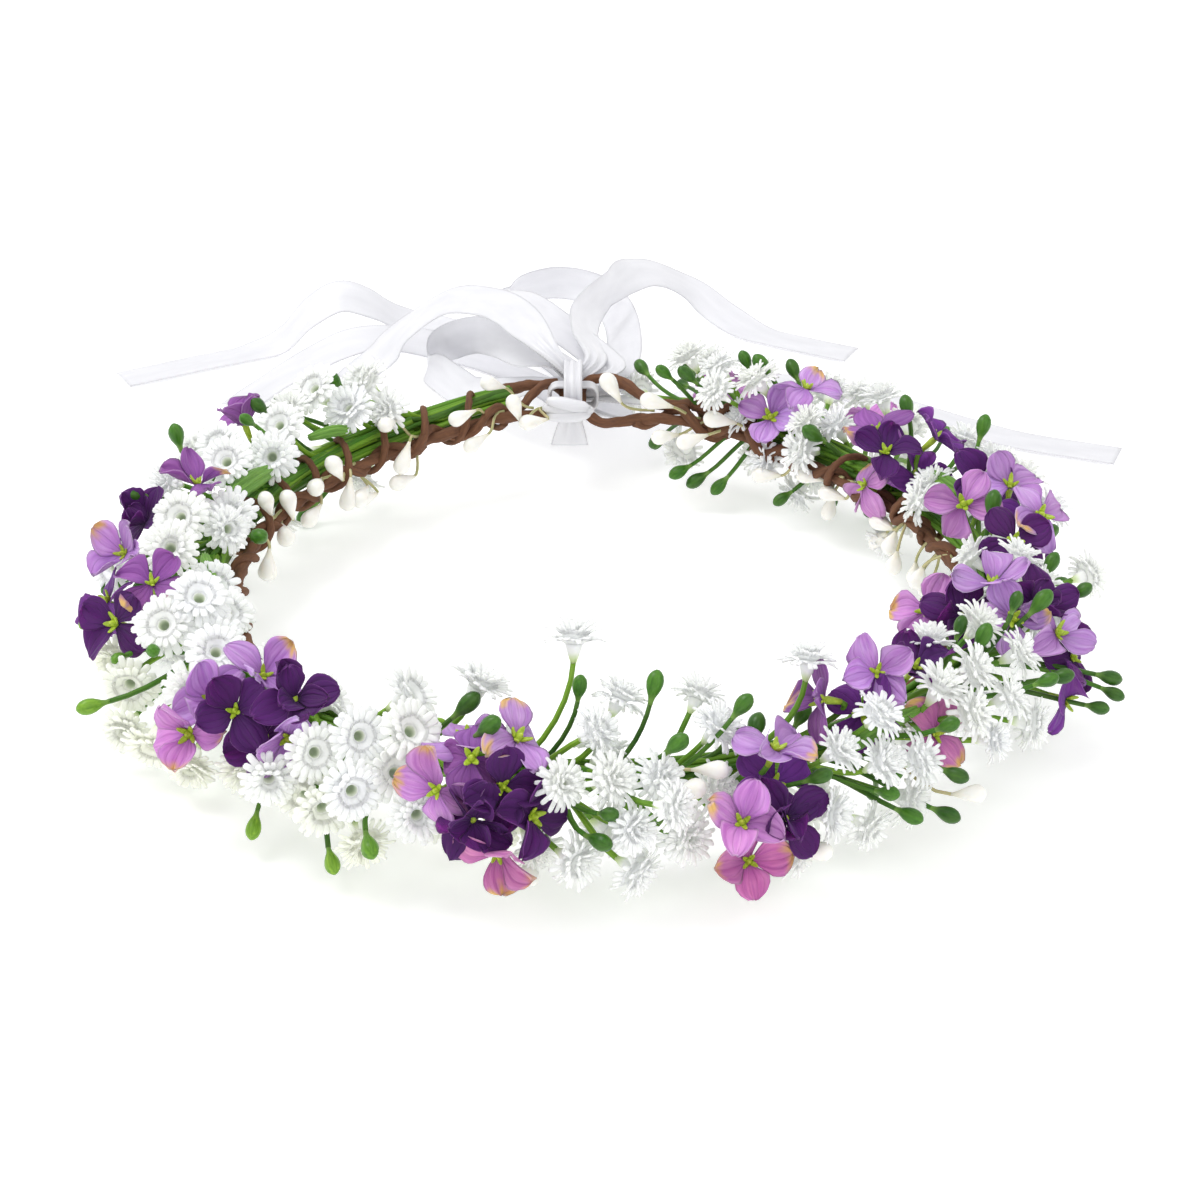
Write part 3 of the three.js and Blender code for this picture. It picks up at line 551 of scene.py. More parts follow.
# ---- Ribbon ------------------------------------------------------------------------------
# Free ribbon: route from the knot as [x, y, height], then the roll of its width at some
# shares of the route, its length, and where its end is.
RIBBONS = {
    "ribbon_loop_left": ([
        [-12, 119, 27], [-18, 127, 22], [-29, 143, 13], [-40, 159, 5], [-48, 170, 2.5],
        [-53, 179, 5], [-48, 184, 11], [-38, 176, 18], [-28, 155, 25], [-18, 131, 30],
        [-11, 119, 33]],
        [(0, 0), (0.3, -50), (0.5, -85), (0.72, -130), (1, -180)], 0.186, "object"),
    "ribbon_loop_back": ([
        [5, 119, 31], [1, 134, 29], [-9, 160, 26], [-23, 188, 24], [-35, 212, 15],
        [-30, 236, 5], [-14, 247, 3], [1, 240, 5], [6, 222, 9], [9, 190, 15],
        [9, 155, 20], [6, 128, 25], [5, 119, 25]],
        [(0, 0), (0.35, -20), (0.47, -75), (0.56, -95), (0.66, -140), (1, -180)], 0.319, "object"),
    "ribbon_tail_arch": ([
        [-14, 119, 38], [-19, 128, 40], [-25, 142, 40], [-33, 155, 38],
        [-46, 172, 31], [-60, 181, 18], [-69, 181, 8], [-80, 176, 2]],
        [(0, 0), (0.3, -25), (0.6, -35), (0.85, -30), (1, 0)], 0.124, "bare"),
    "ribbon_tail_left": ([
        [4, 119, 16], [6, 140, 7], [-2, 172, 1.5], [-16, 198, 1.2], [-34, 213, 1.2],
        [-50, 218, 1.5], [-63, 216, 6], [-73, 211, 14], [-83, 208, 18],
        [-93, 206, 13], [-102, 205, 4], [-112, 201, 1.2], [-130, 191, 1.2],
        [-151, 179, 1.2]],
        [(0, 0), (0.5, 0), (0.58, -30), (0.68, -38), (0.76, -25), (0.84, 0), (1, 0)], 0.261, "bare"),
    "ribbon_tail_broad": ([
        [-4, 119, 20], [-8, 146, 8], [-20, 177, 1.8], [-40, 196, 1.5],
        [-58, 199, 6], [-76, 193, 9], [-93, 183, 5], [-105, 172, 1.3],
        [-112, 158, 1.2]],
        [(0, 0), (0.45, 0), (0.6, -25), (0.75, -20), (0.9, 0), (1, 0)], 0.191, "bare"),
    "ribbon_tail_mid": ([
        [0, 119, 34], [-2, 140, 32], [-3, 165, 28], [2, 188, 26], [10, 205, 26],
        [20, 218, 22], [32, 226, 13], [43, 224, 5], [54, 216, 1.5],
        [69, 207, 1.2], [84, 199, 1.2]],
        [(0, 25), (0.3, 45), (0.45, 85), (0.55, 35), (0.7, 30), (0.85, 0), (1, 0)], 0.196, "bare"),
    "ribbon_tail_right": ([
        [12, 119, 21], [22, 140, 11], [36, 168, 3], [56, 178, 1.2],
        [77, 171, 1.2], [95, 159, 1.2], [113, 145, 1.2], [131, 133, 1.2],
        [159, 122, 1.2]],
        [(0, 0), (0.3, -12), (0.5, 0), (1, 0)], 0.220, "bare"),
}
RIBBON_STEP = 1.6
RIBBON_SKIN = 0.17          # half of the ribbon's thickness
GATHER_LENGTH = 30.0        # over which it spreads from the knot's pleats
GATHER_SHARE = 0.36         # its width at the knot, as a share of its width
GATHER_PLEAT = 0.8          # depth of the pleats there
GATHER_POINT = np.array([-6.2, 112.5, 27.5])
LEAST_HEIGHT = 0.9          # of a ribbon's middle line above the surface it lies on


def strip_sections(path, across, half_widths, pleat):
    """Closed sections of a ribbon laid along a path, with its width along the rows of across."""
    face = np.cross(headings(path), across)
    share = np.linspace(-1, 1, 15)
    run = lengths_along(path)[:, None]
    fold = pleat[:, None] * np.cos(share * math.pi * 2.5 + 0.6) + 0.35 * (1 - share ** 2)
    middle = path[:, None, :] + (half_widths[:, None] * share)[..., None] * across[:, None, :] \
        + fold[..., None] * face[:, None, :]
    lift = RIBBON_SKIN * face[:, None, :]
    marks = np.stack(np.broadcast_arrays(run, share * RIBBON_HALF, 0.0), -1)
    return both_faces(middle + lift, middle - lift), both_faces(marks, marks)


def ribbon(name, route, rolls, length, far_end):
    gathered = [GATHER_POINT + (0, 0, 0.4 * (spot[2] - GATHER_POINT[2])) for spot in
                ([route[0]] + [route[-1]] * (far_end == "object"))]
    route = [gathered[0], *route] + gathered[1:]
    path = smooth_path([from_centre(x, y, z - RING_CENTRE[2]) for x, y, z in route], RIBBON_STEP)
    run = lengths_along(path)
    heading = headings(path)
    level = units(np.cross((0, 0, 1), heading))
    roll = np.radians(np.interp(run / run[-1], *zip(*rolls)))[:, None]
    across = level * np.cos(roll) + np.cross(heading, level) * np.sin(roll)
    spread = np.clip(run / GATHER_LENGTH, 0, 1)
    if far_end == "object":
        spread = np.minimum(spread, np.clip((run[-1] - run) / GATHER_LENGTH, 0, 1))
    spread = spread * spread * (3 - 2 * spread)
    half = RIBBON_HALF * (GATHER_SHARE + (1 - GATHER_SHARE) * spread)
    path[:, 2] = np.maximum(path[:, 2], np.abs(across[:, 2]) * half + LEAST_HEIGHT)
    skin = Skin()
    skin.add(loft(*strip_sections(path, across, half, GATHER_PLEAT * (1 - spread))))
    piece = skin.piece(name.replace("ribbon", "satin"), "satin_ribbon", name)
    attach(piece, "right_half")


for ribbon_name, facts in RIBBONS.items():
    ribbon(ribbon_name, *facts)

KNOT = from_centre(-7.6, 97.6, 5.4)
KNOT_HALF = 7.0
# Each fold of the knot: its share of the length, height, place outward, and slant.
KNOT_FOLDS = [(1.0, 0.0, 0.0, 0.0), (0.86, -1.7, 0.5, 0.12), (0.84, 1.6, 0.4, -0.10)]


def oblong(half_length, half_height):
    """Points of a closed rounded oblong in its own plane, with their outward directions."""
    corner = min(half_length, half_height) * 0.7
    phi = np.linspace(0, 2 * math.pi, 56)
    out = np.stack([np.cos(phi), np.sin(phi)], -1)
    core = np.array([half_length - corner, half_height - corner])
    return out * corner + np.sign(np.round(out, 6)) * core, out


def band(half_length, half_height, width, centre, axes, pleat):
    """A pleated band of ribbon round an oblong, as one form: a tube whose section is the band's."""
    points, out = oblong(half_length, half_height)
    long, high, across = (np.array(axis, float) for axis in axes)
    share = np.linspace(-1, 1, 11)
    ripple = pleat * np.cos(share * math.pi * 2.6 + 0.4)
    plane = np.stack([long, high])
    outer = (0.35 + ripple)[None, :, None] * (out @ plane)[:, None, :]
    spot = centre + (points @ plane)[:, None, :] + (share * width / 2)[None, :, None] * across + outer
    thin = 0.3 * (out @ plane)[:, None, :]
    run = np.linspace(0, 2 * (half_length + half_height) * 1.7, len(points))[:, None]
    marks = np.stack(np.broadcast_arrays(run, share * RIBBON_HALF * 0.9, 0.0), -1)
    return loft(both_faces(spot + thin, spot - thin), both_faces(marks, marks))


def ribbon_pieces():
    X, Y, Z = np.eye(3)
    wrap = Skin()
    wrap.add(band(6.6, 3.2, 4.2, from_centre(-6.25, 108, 4.6), (X, Z, Y), 0.35))
    wrap = wrap.piece("satin_wrap", "satin_ribbon", "ribbon_wrap")
    strap = Skin()
    strap.add(band(8.4, 11.0, 5.4, from_centre(-6.25, 108.8, 2.2), (Y, Z, X), 0.5))
    fall = np.linspace(0, 1, 12)
    drop = from_centre(-7.0, 98.2, 3.0) \
        + np.stack([-0.3 * fall, 0.7 * np.sin(fall * 2.6), -10.0 * fall], -1)
    strap.add(loft(*strip_sections(drop, np.tile(X, (len(fall), 1)), 2.3 + 3.2 * fall ** 0.7,
                                   0.6 * (1 - fall))))
    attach(strap.piece("satin_strap", "satin_ribbon", "ribbon_strap"), "right_half")
    knot = Skin()
    t = np.linspace(0, math.pi, 26)
    for size, lift, out, slant in KNOT_FOLDS:
        path = np.stack([-KNOT_HALF * size * np.cos(t), -out - 0.9 * np.sin(t),
                         lift - KNOT_HALF * slant * np.cos(t) + 0.3 * np.sin(2 * t)], -1)
        knot.add(tube(KNOT + path, 0.5 + 1.5 * np.sin(t) ** 0.6, sides=22, lobes=7, lobe=0.09,
                      twist=0.12))
    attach(knot.piece("satin_knot", "satin_ribbon", "ribbon_knot"), "right_half")
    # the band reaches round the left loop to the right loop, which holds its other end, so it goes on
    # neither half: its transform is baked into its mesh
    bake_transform(wrap)


ribbon_pieces()

# ---- Wire ring ---------------------------------------------------------------------------
LEFT_LOOP = [[-18, 101.4, 1.6], [-12.3, 101.8, 1.4], [-9, 104.4, 3], [-8.5, 108.3, 4.6],
             [-11.5, 112.6, 5.6], [-19, 112.4, 6], [-27, 109, 6]]
RIGHT_LOOP = [[20, 98.8, 1.4], [11.4, 99.8, 0.6], [3, 100.2, -0.6], [-2.8, 103.2, 1.6],
              [-4.2, 108.2, 4.8], [-2.2, 112.2, 7.2], [2.1, 113.2, 8], [7.5, 111.6, 7.6],
              [12.5, 107.6, 6], [16.5, 103.6, 4.6], [22, 101.6, 4.4], [29, 100.4, 5.4]]
# The short ends of the doubled wire beyond the loops: the left one crosses over its loop.
LEFT_END = [[-11, 111.6, 7.6], [-15, 109.8, 7.4], [-18.6, 106.4, 5.4], [-21.2, 103.6, 3.4],
            [-25, 101.2, 3.2], [-31, 98.4, 3.2]]
RIGHT_END = [[29, 100.4, 5.4], [35, 97.4, 5.0], [41, 93, 5.4], [46, 88.6, 5.0]]
WIRE_STEP = 1.1
# Strands wound round the ring: start, end, turns, middle (out, up), swing, phase, radius.
STRANDS = {
    "left": [(100, 128, 2.3, (0, 0.4), 2.6, 1.0, 1.3), (228, 120, 9, (0, 0), 2.2, 2.0, 1.1)],
    "right": [(83, 52, 2.6, (-0.6, 0.2), 2.9, 0.5, 1.5), (-20, 70, 8, (0, 0), 2.3, 1.0, 1.2)],
}
BINDINGS = {"left": (105, 168, 7.5, (4.0, 1.4), 6.0, 0.6), "right": (16, 74, 6.5, (3.4, 1.2), 5.6, 0.0)}
BINDING_RADIUS = 1.05


def through(points):
    return smooth_path([from_centre(*point) for point in points], WIRE_STEP)


def ring_path(side):
    start, end, loop = (270, 107, LEFT_LOOP) if side == "left" else (-90, 72, RIGHT_LOOP)
    arc = [lane(a, 0, 0) for a in np.linspace(start, end, 40)]
    return smooth_path(arc + [from_centre(*point) for point in loop], WIRE_STEP)


def helix(start, end, turns, centre, swing, phase):
    """A strand wound round a line beside the ring wire."""
    points = []
    for share in np.linspace(0, 1, int(turns * 12) + 1):
        phi = 2 * math.pi * turns * share + phase
        points.append(lane(start + (end - start) * share,
                           centre[0] - swing * math.cos(phi), centre[1] - swing * math.sin(phi)))
    return smooth_path(points, 1.2)


def paper_strand(skin, path, radius=1.6, twist=0.9):
    wobble = 1 + 0.10 * np.sin(lengths_along(path) * 0.31 + RANDOM.uniform(0, 6)) \
        + RANDOM.normal(0, 0.03, len(path))
    skin.add(tube(path, radius * wobble, sides=12, lobes=3, lobe=0.11, twist=twist))


def wire_pieces():
    for side, end, end_radius in (("left", LEFT_END, 1.25), ("right", RIGHT_END, 1.9)):
        path = ring_path(side)
        wrap, core, binding = Skin(), Skin(), Skin()
        paper_strand(wrap, path)
        for *winding, radius in STRANDS[side]:
            paper_strand(wrap, helix(*winding), radius)
        paper_strand(wrap, through(end), end_radius)
        core.add(tube(path, 0.5, sides=8))
        tip = path[-1]
        onward = unit(tip - path[-4])
        for k in range(4):
            splay = np.array([math.cos(k * 1.7), math.sin(k * 2.3), math.sin(k * 1.7 + 1)])
            lean = onward + 0.35 * splay
            core.add(tube(smooth_path([tip - onward, tip + lean, tip + lean * 2.4 + (0, 0, 0.3 * k - 0.4)],
                                      0.5), 0.22, sides=6))
        paper_strand(binding, helix(*BINDINGS[side]), BINDING_RADIUS, 1.6)
        ride(wrap.piece(f"paper_strands_{side}", "brown_paper", f"paper_wrap_{side}"), side)
        ride(core.piece(f"steel_strands_{side}", "steel_wire", f"core_wire_{side}"), side)
        ride(binding.piece(f"binding_strand_{side}", "brown_paper", f"binding_wire_{side}"), side)


wire_pieces()

# ---- Flowers -----------------------------------------------------------------------------
USUAL_DEPTH = 20            # how far a flower's mouth stands out from the middle of the ring
# (angle, tilt, and depth where it isn't the usual one): tilt 0 faces outward, 90 up, 180 inward.
BLOSSOMS = [
    (-89, 85), (-88, 45), (-86, 15), (-86, 120, 25), (-85, -30), (-82, 45, 17), (-81, 20), (-80, 15),
    (-76, 40), (-75, 120, 24), (-74, 85), (-67, -40), (-64, 0), (-62, 45), (-61, 100, 29), (-59, -25),
    (-57, 25), (-56, 60), (-53, -15), (-53, 20), (-51, 65), (-47, 55), (-45, 40), (-41, 5), (-39, 55),
    (-38, 100), (-37, 30), (-33, 80), (-32, -10), (-31, 45), (-19, 45), (-15, 30), (-14, 60), (-12, 75),
    (-3, 15, 23), (18, 45), (18, 70), (18, 150), (19, 105), (32, -130), (44, 75), (49, 105), (51, 125),
    (51, 160), (54, -120), (56, 165), (63, 105), (63, 135, 16), (68, 130), (71, 105), (75, 90),
    (128, 120, 16), (129, 85), (132, 105, 17), (134, 60), (136, 80), (142, 85), (147, 100),
    (153, 120, 17), (156, 50), (158, 80), (161, 95), (168, 60), (172, 110), (180, 130), (181, 90),
    (183, 30), (190, 85), (197, -10), (205, -5), (206, 110, 17), (207, -25, 24), (207, 90), (208, 55),
    (211, -30, 23), (211, 85, 14), (217, -40), (217, 35), (218, 70), (230, 0), (235, 15, 17),
    (236, 0, 17), (239, 40), (241, 0), (243, 50), (244, 125), (245, -30), (245, 20), (248, 35, 17),
    (249, 60), (251, 20, 17), (254, 120, 26), (264, -30, 17), (267, 40), (267, 120, 39), (269, -10),
]
BUDS = [
    (-90, 0), (-88, 20), (-82, 110, 26), (-81, 65), (-73, 80, 24), (-66, 30), (-58, 10), (-56, -10, 23),
    (-52, -15, 24), (-50, 5, 23), (-50, 35, 24), (-35, 90), (-33, 25, 24), (-34, 75), (-30, 20, 24),
    (-28, 70, 24), (-25, 60, 23), (-23, -15, 29), (-21, -10, 31), (-20, -5, 29), (-17, 40, 24),
    (-12, 60), (3, 100), (22, 75, 25), (37, 85), (48, 150), (54, 220), (63, 100), (66, 90), (67, 225),
    (71, 220), (74, 120), (74, 210), (78, 120), (130, 75), (145, 70), (152, 90, 23), (160, 60, 26),
    (166, 20, 23), (172, 45), (174, 155), (177, 10), (186, -10), (189, 0, 23), (203, 10), (208, 0, 31),
    (209, 45), (230, -40, 23), (241, -40, 24), (247, -10, 24), (253, 110), (258, 70, 24),
    (268, 110, 26),
]
# Florets have a depth, a tone and the way they face as well.
FLORETS = [
    (-75, 10, 21, "orchid", (0, -0.7, 0.8)), (-74, -20, 21, "pink", (0, -0.9, 0.5)),
    (-70, 50, 19, "lavender", (0.3, -0.1, 0.9)), (-70, 10, 18, "dark", (0.6, -0.7, 0.5)),
    (-70, 30, 16, "violet", (0.2, -0.7, 0.6)), (-60, 90, 18, "mauve", (-0.9, -0.3, 0.3)),
    (-56, 75, 16, "violet", (-0.2, -0.9, 0.5)), (-53, 85, 21, "lavender", (0, -0.7, 0.8)),
    (-47, 25, 12, "pink", (0.4, -0.7, 0.5)), (-45, 90, 17, "dark", (0.3, -0.4, 0.8)),
    (-26, 70, 18, "lavender", (0.2, -0.8, 0.5)), (-26, 115, 16, "dark", (0, -0.6, 0.8)),
    (-24, 90, 21, "lavender", (0, 0.1, 1)), (-24, 145, 20, "orchid", (-0.5, -0.6, 0.6)),
    (-23, 35, 20, "lavender", (0.6, -0.5, 0.6)), (-23, -20, 21, "violet", (0.8, -0.6, 0)),
    (-19, 0, 19, "dark", (0.6, -0.7, 0.5)), (-19, 55, 16, "dark", (0.3, -0.6, 0.7)),
    (6, 50, 14, "violet", (0.6, -0.2, 0.8)), (-3, 85, 15, "dark", (0, -0.8, 0.6)),
    (1, 65, 20, "lavender", (0.3, -0.7, 0.6)), (6, 120, 20, "orchid", (-0.1, -0.7, 0.7)),
    (11, 75, 18, "lavender", (0, -0.4, 0.9)), (15, 85, 15, "dark", (0, -0.7, 0.7)),
    (27, 135, 11, "violet", (0.3, -0.7, 0.6)), (28, 95, 18, "violet", (0.7, 0, 0.7)),
    (31, 135, 20, "dark", (-0.1, -0.4, 0.9)), (32, 165, 20, "orchid", (-0.8, -0.3, 0.5)),
    (37, 120, 18, "mauve", (-0.2, -0.1, 1)), (54, 105, 18, "lavender", (0.2, 0.2, 1)),
    (59, 140, 14, "lavender", (-0.1, -0.7, 0.7)), (146, 55, 18, "mauve", (-0.3, 0.1, 0.9)),
    (171, 95, 20, "mauve", (0.1, 0.1, 1)), (173, 40, 16, "dark", (-0.5, -0.2, 0.8)),
    (184, 40, 19, "lavender", (-0.5, -0.6, 0.6)), (187, 5, 19, "violet", (-0.7, -0.1, 0.7)),
    (197, 65, 19, "mauve", (0.1, -0.5, 0.9)), (198, 25, 20, "dark", (-0.6, -0.6, 0.5)),
    (222, 15, 21, "orchid", (-0.3, -0.9, 0.4)), (222, 35, 18, "lavender", (-0.4, -0.6, 0.7)),
    (227, 70, 20, "lavender", (0.3, -0.5, 0.8)), (228, 40, 21, "dark", (-0.1, -0.7, 0.7)),
    (230, 30, 16, "dark", (0, -1, 0.3)), (234, 60, 21, "dark", (0.3, -0.6, 0.7)),
    (234, 40, 18, "lavender", (0.1, -1, 0.2)), (254, 30, 21, "orchid", (-0.3, -0.8, 0.4)),
    (255, 75, 17, "lavender", (-0.2, -0.1, 1)), (257, 50, 21, "mauve", (0, -0.7, 0.7)),
    (258, 15, 20, "dark", (-0.1, -1, 0.1)), (260, 35, 19, "dark", (0.3, -0.9, 0.4)),
    (260, -5, 20, "pink", (0.1, -1, -0.2)), (261, 75, 19, "lavender", (0.6, -0.3, 0.8)),
    (263, 20, 17, "dark", (0.6, -0.7, 0.3)),
]
# (angle, tilt, depth, and whether the berry lies along the ring, stands or hangs)
BERRIES = [
    (107, 120, 16, "along"), (104, 150, 16, "up"), (101, 165, 16, "along"), (114, 150, 17, "along"),
    (112, 178, 17, "along"), (128, 140, 17, "along"), (127, 175, 18, "hang"), (127, 200, 18, "along"),
    (135, 205, 18, "along"), (137, 195, 19, "along"), (140, 190, 18, "hang"), (143, 160, 19, "up"),
    (148, 165, 18, "along"), (150, 190, 18, "along"), (157, 165, 18, "up"), (160, 185, 18, "along"),
    (163, 150, 18, "up"), (170, 190, 19, "hang"), (165, 205, 18, "hang"), (262, -45, 18, "along"),
    (-80, 35, 15, "along"), (-77, 52, 15, "along"), (-67, -20, 22, "along"), (-48, -12, 24, "along"),
    (12, 205, 20, "hang"), (15, 215, 20, "hang"), (19, 222, 20, "hang"), (22, 212, 22, "hang"),
    (28, 195, 18, "along"), (25, 205, 19, "hang"), (16, 230, 20, "hang"), (31, 220, 19, "hang"),
    (42, 195, 18, "along"), (44, 215, 18, "hang"), (47, 185, 18, "along"), (57, 200, 18, "along"),
    (67, 155, 17, "along"), (72, 180, 16, "along"), (77, 180, 16, "along"), (79, 145, 16, "along"),
    (87, 130, 15, "up"),
]
# Sprays, clusters and picks in degrees: where each is rooted, and the first and last angle of the
# flowers or berries that belong to it. A cluster's name comes first.
SECTORS = {
    "left": [(103, 124, 146), (121, 146, 164), (142, 164, 182), (160, 182, 203),
             (178, 203, 222), (198, 222, 240), (217, 240, 256), (236, 256, 271)],
    "right": [(-112, -90.5, -68), (-94, -68, -50), (-74, -50, -32), (-56, -32, -14),
              (-38, -14, 6), (-18, 6, 30), (6, 30, 55), (31, 55, 90)],
}
CLUSTERS = {
    "left": [("hydrangea_back_left", 133, 124, 155), ("hydrangea_left_upper", 150, 155, 175),
             ("hydrangea_left", 172, 175, 205), ("hydrangea_front_left", 207, 205, 240),
             ("hydrangea_front", 242, 240, 271)],
    "right": [("hydrangea_front_right", -84, -90, -62), ("hydrangea_right_front", -65, -62, -40),
              ("hydrangea_right", -40, -40, -10), ("hydrangea_right_back", -8, -10, 20),
              ("hydrangea_back_right", 20, 20, 45), ("hydrangea_back", 44, 45, 90)],
}
PICKS = {
    "left": [(98.5, 90, 118), (118, 118, 135), (135, 135, 152), (152, 152, 200), (250, 200, 271)],
    "right": [(-88, -90, -10), (6, 0, 21), (21, 21, 37), (37, 37, 58), (58, 58, 90)],
}
# Broad ribbed sheaths about some of the stems: place of each end as (angle, tilt, depth), radius,
# and the side and number of the spray.
SHEATHS = [((168, 118, 15), (152, 128, 13), 2.9, "left", 1),
           ((142, 118, 14), (133, 130, 13), 1.7, "left", 0),
           ((196, 128, 12), (184, 120, 13), 2.0, "left", 3),
           ((14, 112, 14), (26, 124, 12), 2.2, "right", 5),
           ((-60, 45, 14), (-48, 58, 13), 2.1, "right", 2)]
REACH = {"blossom": 6.9, "floret": 7.0, "bud": 2.4}
INNER_TILT = 134.0          # low flowers that hide the wire from above at the front and sides
INNER_DEPTH = 13
BARE_BACK = (84, 122)       # angles between which only the flowers of the tables grow
FILL_STEP = 5.5             # angle from one row of the unseen sides' flowers to the next
EASING_ROUNDS, EASING_SHARE, EASED_GAP = 40, 0.25, 0.86
HOLD, FLORET_HOLD = 0.06, 0.5       # how strongly a flower is held to its place meanwhile
PETAL_ROOM = (12.5, 6.0)    # blossoms this near a floret's axis and plane are put behind its petals
FLOWER_FLOOR = 1.5          # least height of a flower above the surface the crown lies on


def fill_tilts(angle):
    """Tilts of the flowers that fill the ring's unseen outer side, and its low inner side."""
    if angle < 5 or angle > 190:
        return -112, INNER_TILT
    return (-75, -50, -25, 0, 25, 48) if angle < 150 else (-80, -55, -30, -5, 20)


def flower_set():
    """Every flower as (kind, spot, tone, face, place), after filling the unseen sides and easing
    crowded ones apart."""
    flowers = [("blossom", f, None, None) for f in BLOSSOMS] \
        + [("floret", f[:3], *f[3:]) for f in FLORETS] + [("bud", f, None, None) for f in BUDS]
    flowers = [(kind, (*spot, USUAL_DEPTH)[:3], *rest) for kind, spot, *rest in flowers]
    places = [flower_at(*f[1]) for f in flowers]
    for angle in np.arange(-88, 268, FILL_STEP):
        if BARE_BACK[0] < angle < BARE_BACK[1]:
            continue
        for tilt in fill_tilts(angle):
            spot = (angle + RANDOM.uniform(-2, 2), tilt + RANDOM.uniform(-6, 6),
                    INNER_DEPTH if tilt == INNER_TILT else RANDOM.uniform(18, 21))
            kind, tone = "blossom" if RANDOM.random() < 0.75 else "bud", None
            if kind == "blossom" and RANDOM.random() < 0.25 and 20 < angle < 84 and -60 < tilt < 10:
                kind, tone = "floret", str(RANDOM.choice(["lavender", "dark", "orchid"]))
            place = flower_at(*spot)
            if all(np.linalg.norm(place - other) > 0.95 * (REACH[kind] + REACH[f[0]])
                   for other, f in zip(places, flowers)):
                flowers.append((kind, spot, tone, None))
                places.append(place)
    home = np.array(places)
    places = home.copy()
    reach = np.array([REACH[f[0]] for f in flowers])
    pull = np.array([HOLD if f[3] is None else FLORET_HOLD for f in flowers])[:, None]
    for _ in range(EASING_ROUNDS):
        apart = places[:, None] - places[None]
        distance = np.linalg.norm(apart, axis=2) + np.eye(len(places)) * 1e3
        short = np.clip(EASED_GAP * (reach[:, None] + reach[None]) - distance, 0, None)
        push = (apart / distance[..., None] * short[..., None]).sum(1)
        places = places + EASING_SHARE * push + pull * (home - places)
    for i, (_, _, _, face) in enumerate(flowers):
        if face is None:
            continue
        axis = unit(face)
        for j, other in enumerate(flowers):
            if other[0] == "blossom":
                gap = places[j] - places[i]
                ahead = gap.dot(axis)
                if np.linalg.norm(gap - ahead * axis) < PETAL_ROOM[0] and -PETAL_ROOM[1] < ahead < 4:
                    places[j] = places[j] - axis * (ahead + PETAL_ROOM[1])
    places[:, 2] = np.maximum(places[:, 2], reach + FLOWER_FLOOR)
    return [(*flower, place) for flower, place in zip(flowers, places)]


LINE_STATIONS = 13


def centre_line(start, reach, first, last):
    """Radius, height and slope along a petal that bends from one angle to another."""
    share = np.linspace(0, 1, LINE_STATIONS)
    angle = np.radians(first + (last - first) * share ** 1.2)
    step = np.concatenate([[0], np.full(LINE_STATIONS - 1, reach / (LINE_STATIONS - 1))])
    return start[0] + np.cumsum(np.cos(angle) * step), start[1] + np.cumsum(np.sin(angle) * step), angle


def finger(start, reach, width, angles, thickness, outline, notch, begin=0.0):
    """One narrow petal of a blossom, in the plane of +X and +Z, from start = (radius, height)."""
    at = (begin + (1 - begin) * np.array([0, 0.35, 0.7, 0.9, 1])) * (LINE_STATIONS - 1)
    r, z, angle = (np.interp(at, np.arange(LINE_STATIONS), line)
                   for line in centre_line(start, reach, *angles))
    thick = thickness * np.array([1.2, 1.0, 0.9, 0.8, 0.45])
    section = np.array([(-1, 0), (-0.6, 1), (0, 0.75), (0.6, 1), (1, 0), (0.6, -1), (0, -0.75), (-0.6, -1)])
    back = np.zeros((5, 8))
    back[-1] = np.array([0.45, 0, 1, 0, 0.45, 0, 1, 0]) * notch
    y = width / 2 * np.array(outline)[:, None] * section[:, 0]
    lift = thick[:, None] * section[:, 1]
    x = r[:, None] - np.sin(angle)[:, None] * lift - back * np.cos(angle[-1])
    h = z[:, None] + np.cos(angle)[:, None] * lift - back * np.sin(angle[-1])
    marks = np.stack([x, h, np.zeros_like(x)], -1)
    return loft(np.stack([x, y, h], -1), marks)


SKIRT_HALF_THICK = 0.27


def skirt(start, reach, share, angles, wave):
    """The fused part of one layer of petals: a thin waved funnel about the axis."""
    sections, marks = [], []
    keep = round(share * (LINE_STATIONS - 1)) + 1
    for phi in np.linspace(0, 2 * math.pi, 37):
        bend = wave(phi)
        r, z, angle = (line[:keep:2] for line in
                       centre_line(start, reach, angles[0] + bend * 0.5, angles[1] + bend))
        x, h = np.sin(angle) * SKIRT_HALF_THICK, np.cos(angle) * SKIRT_HALF_THICK
        out, high = np.concatenate([r - x, (r + x)[::-1]]), np.concatenate([z + h, (z - h)[::-1]])
        sections.append(np.stack([out * math.cos(phi), out * math.sin(phi), high], -1))
        marks.append(np.stack([out, high, np.zeros_like(out)], -1))
    return loft(np.array(sections), np.array(marks))


BELL = [(0.75, -8.4), (0.95, -7.6), (1.35, -6.6), (1.8, -5.2), (2.2, -3.8), (2.3, -2.6), (2.15, -1.7),
        (1.9, -1.25), (1.65, -1.15), (1.4, -1.5), (1.25, -2.2), (1.05, -3.2), (0.6, -3.9)]
BELL_INNER = 9
# Layers of petals: count, start (radius, height), reach, width, angles.
ROUND_LAYERS = [(19, (1.9, -2.6), 6.7, 1.95, (40, -14)), (17, (1.8, -1.5), 5.8, 1.8, (52, 8)),
                (13, (1.7, -1.0), 4.8, 1.7, (72, 34))]
SHAGGY_LAYERS = [(17, (1.9, -3.4), 6.6, 1.8, (24, -46)), (19, (1.8, -2.4), 6.6, 1.85, (46, -8)),
                 (15, (1.6, -1.5), 5.6, 1.6, (64, 26)), (9, (1.2, -1.1), 4.4, 1.5, (84, 58))]
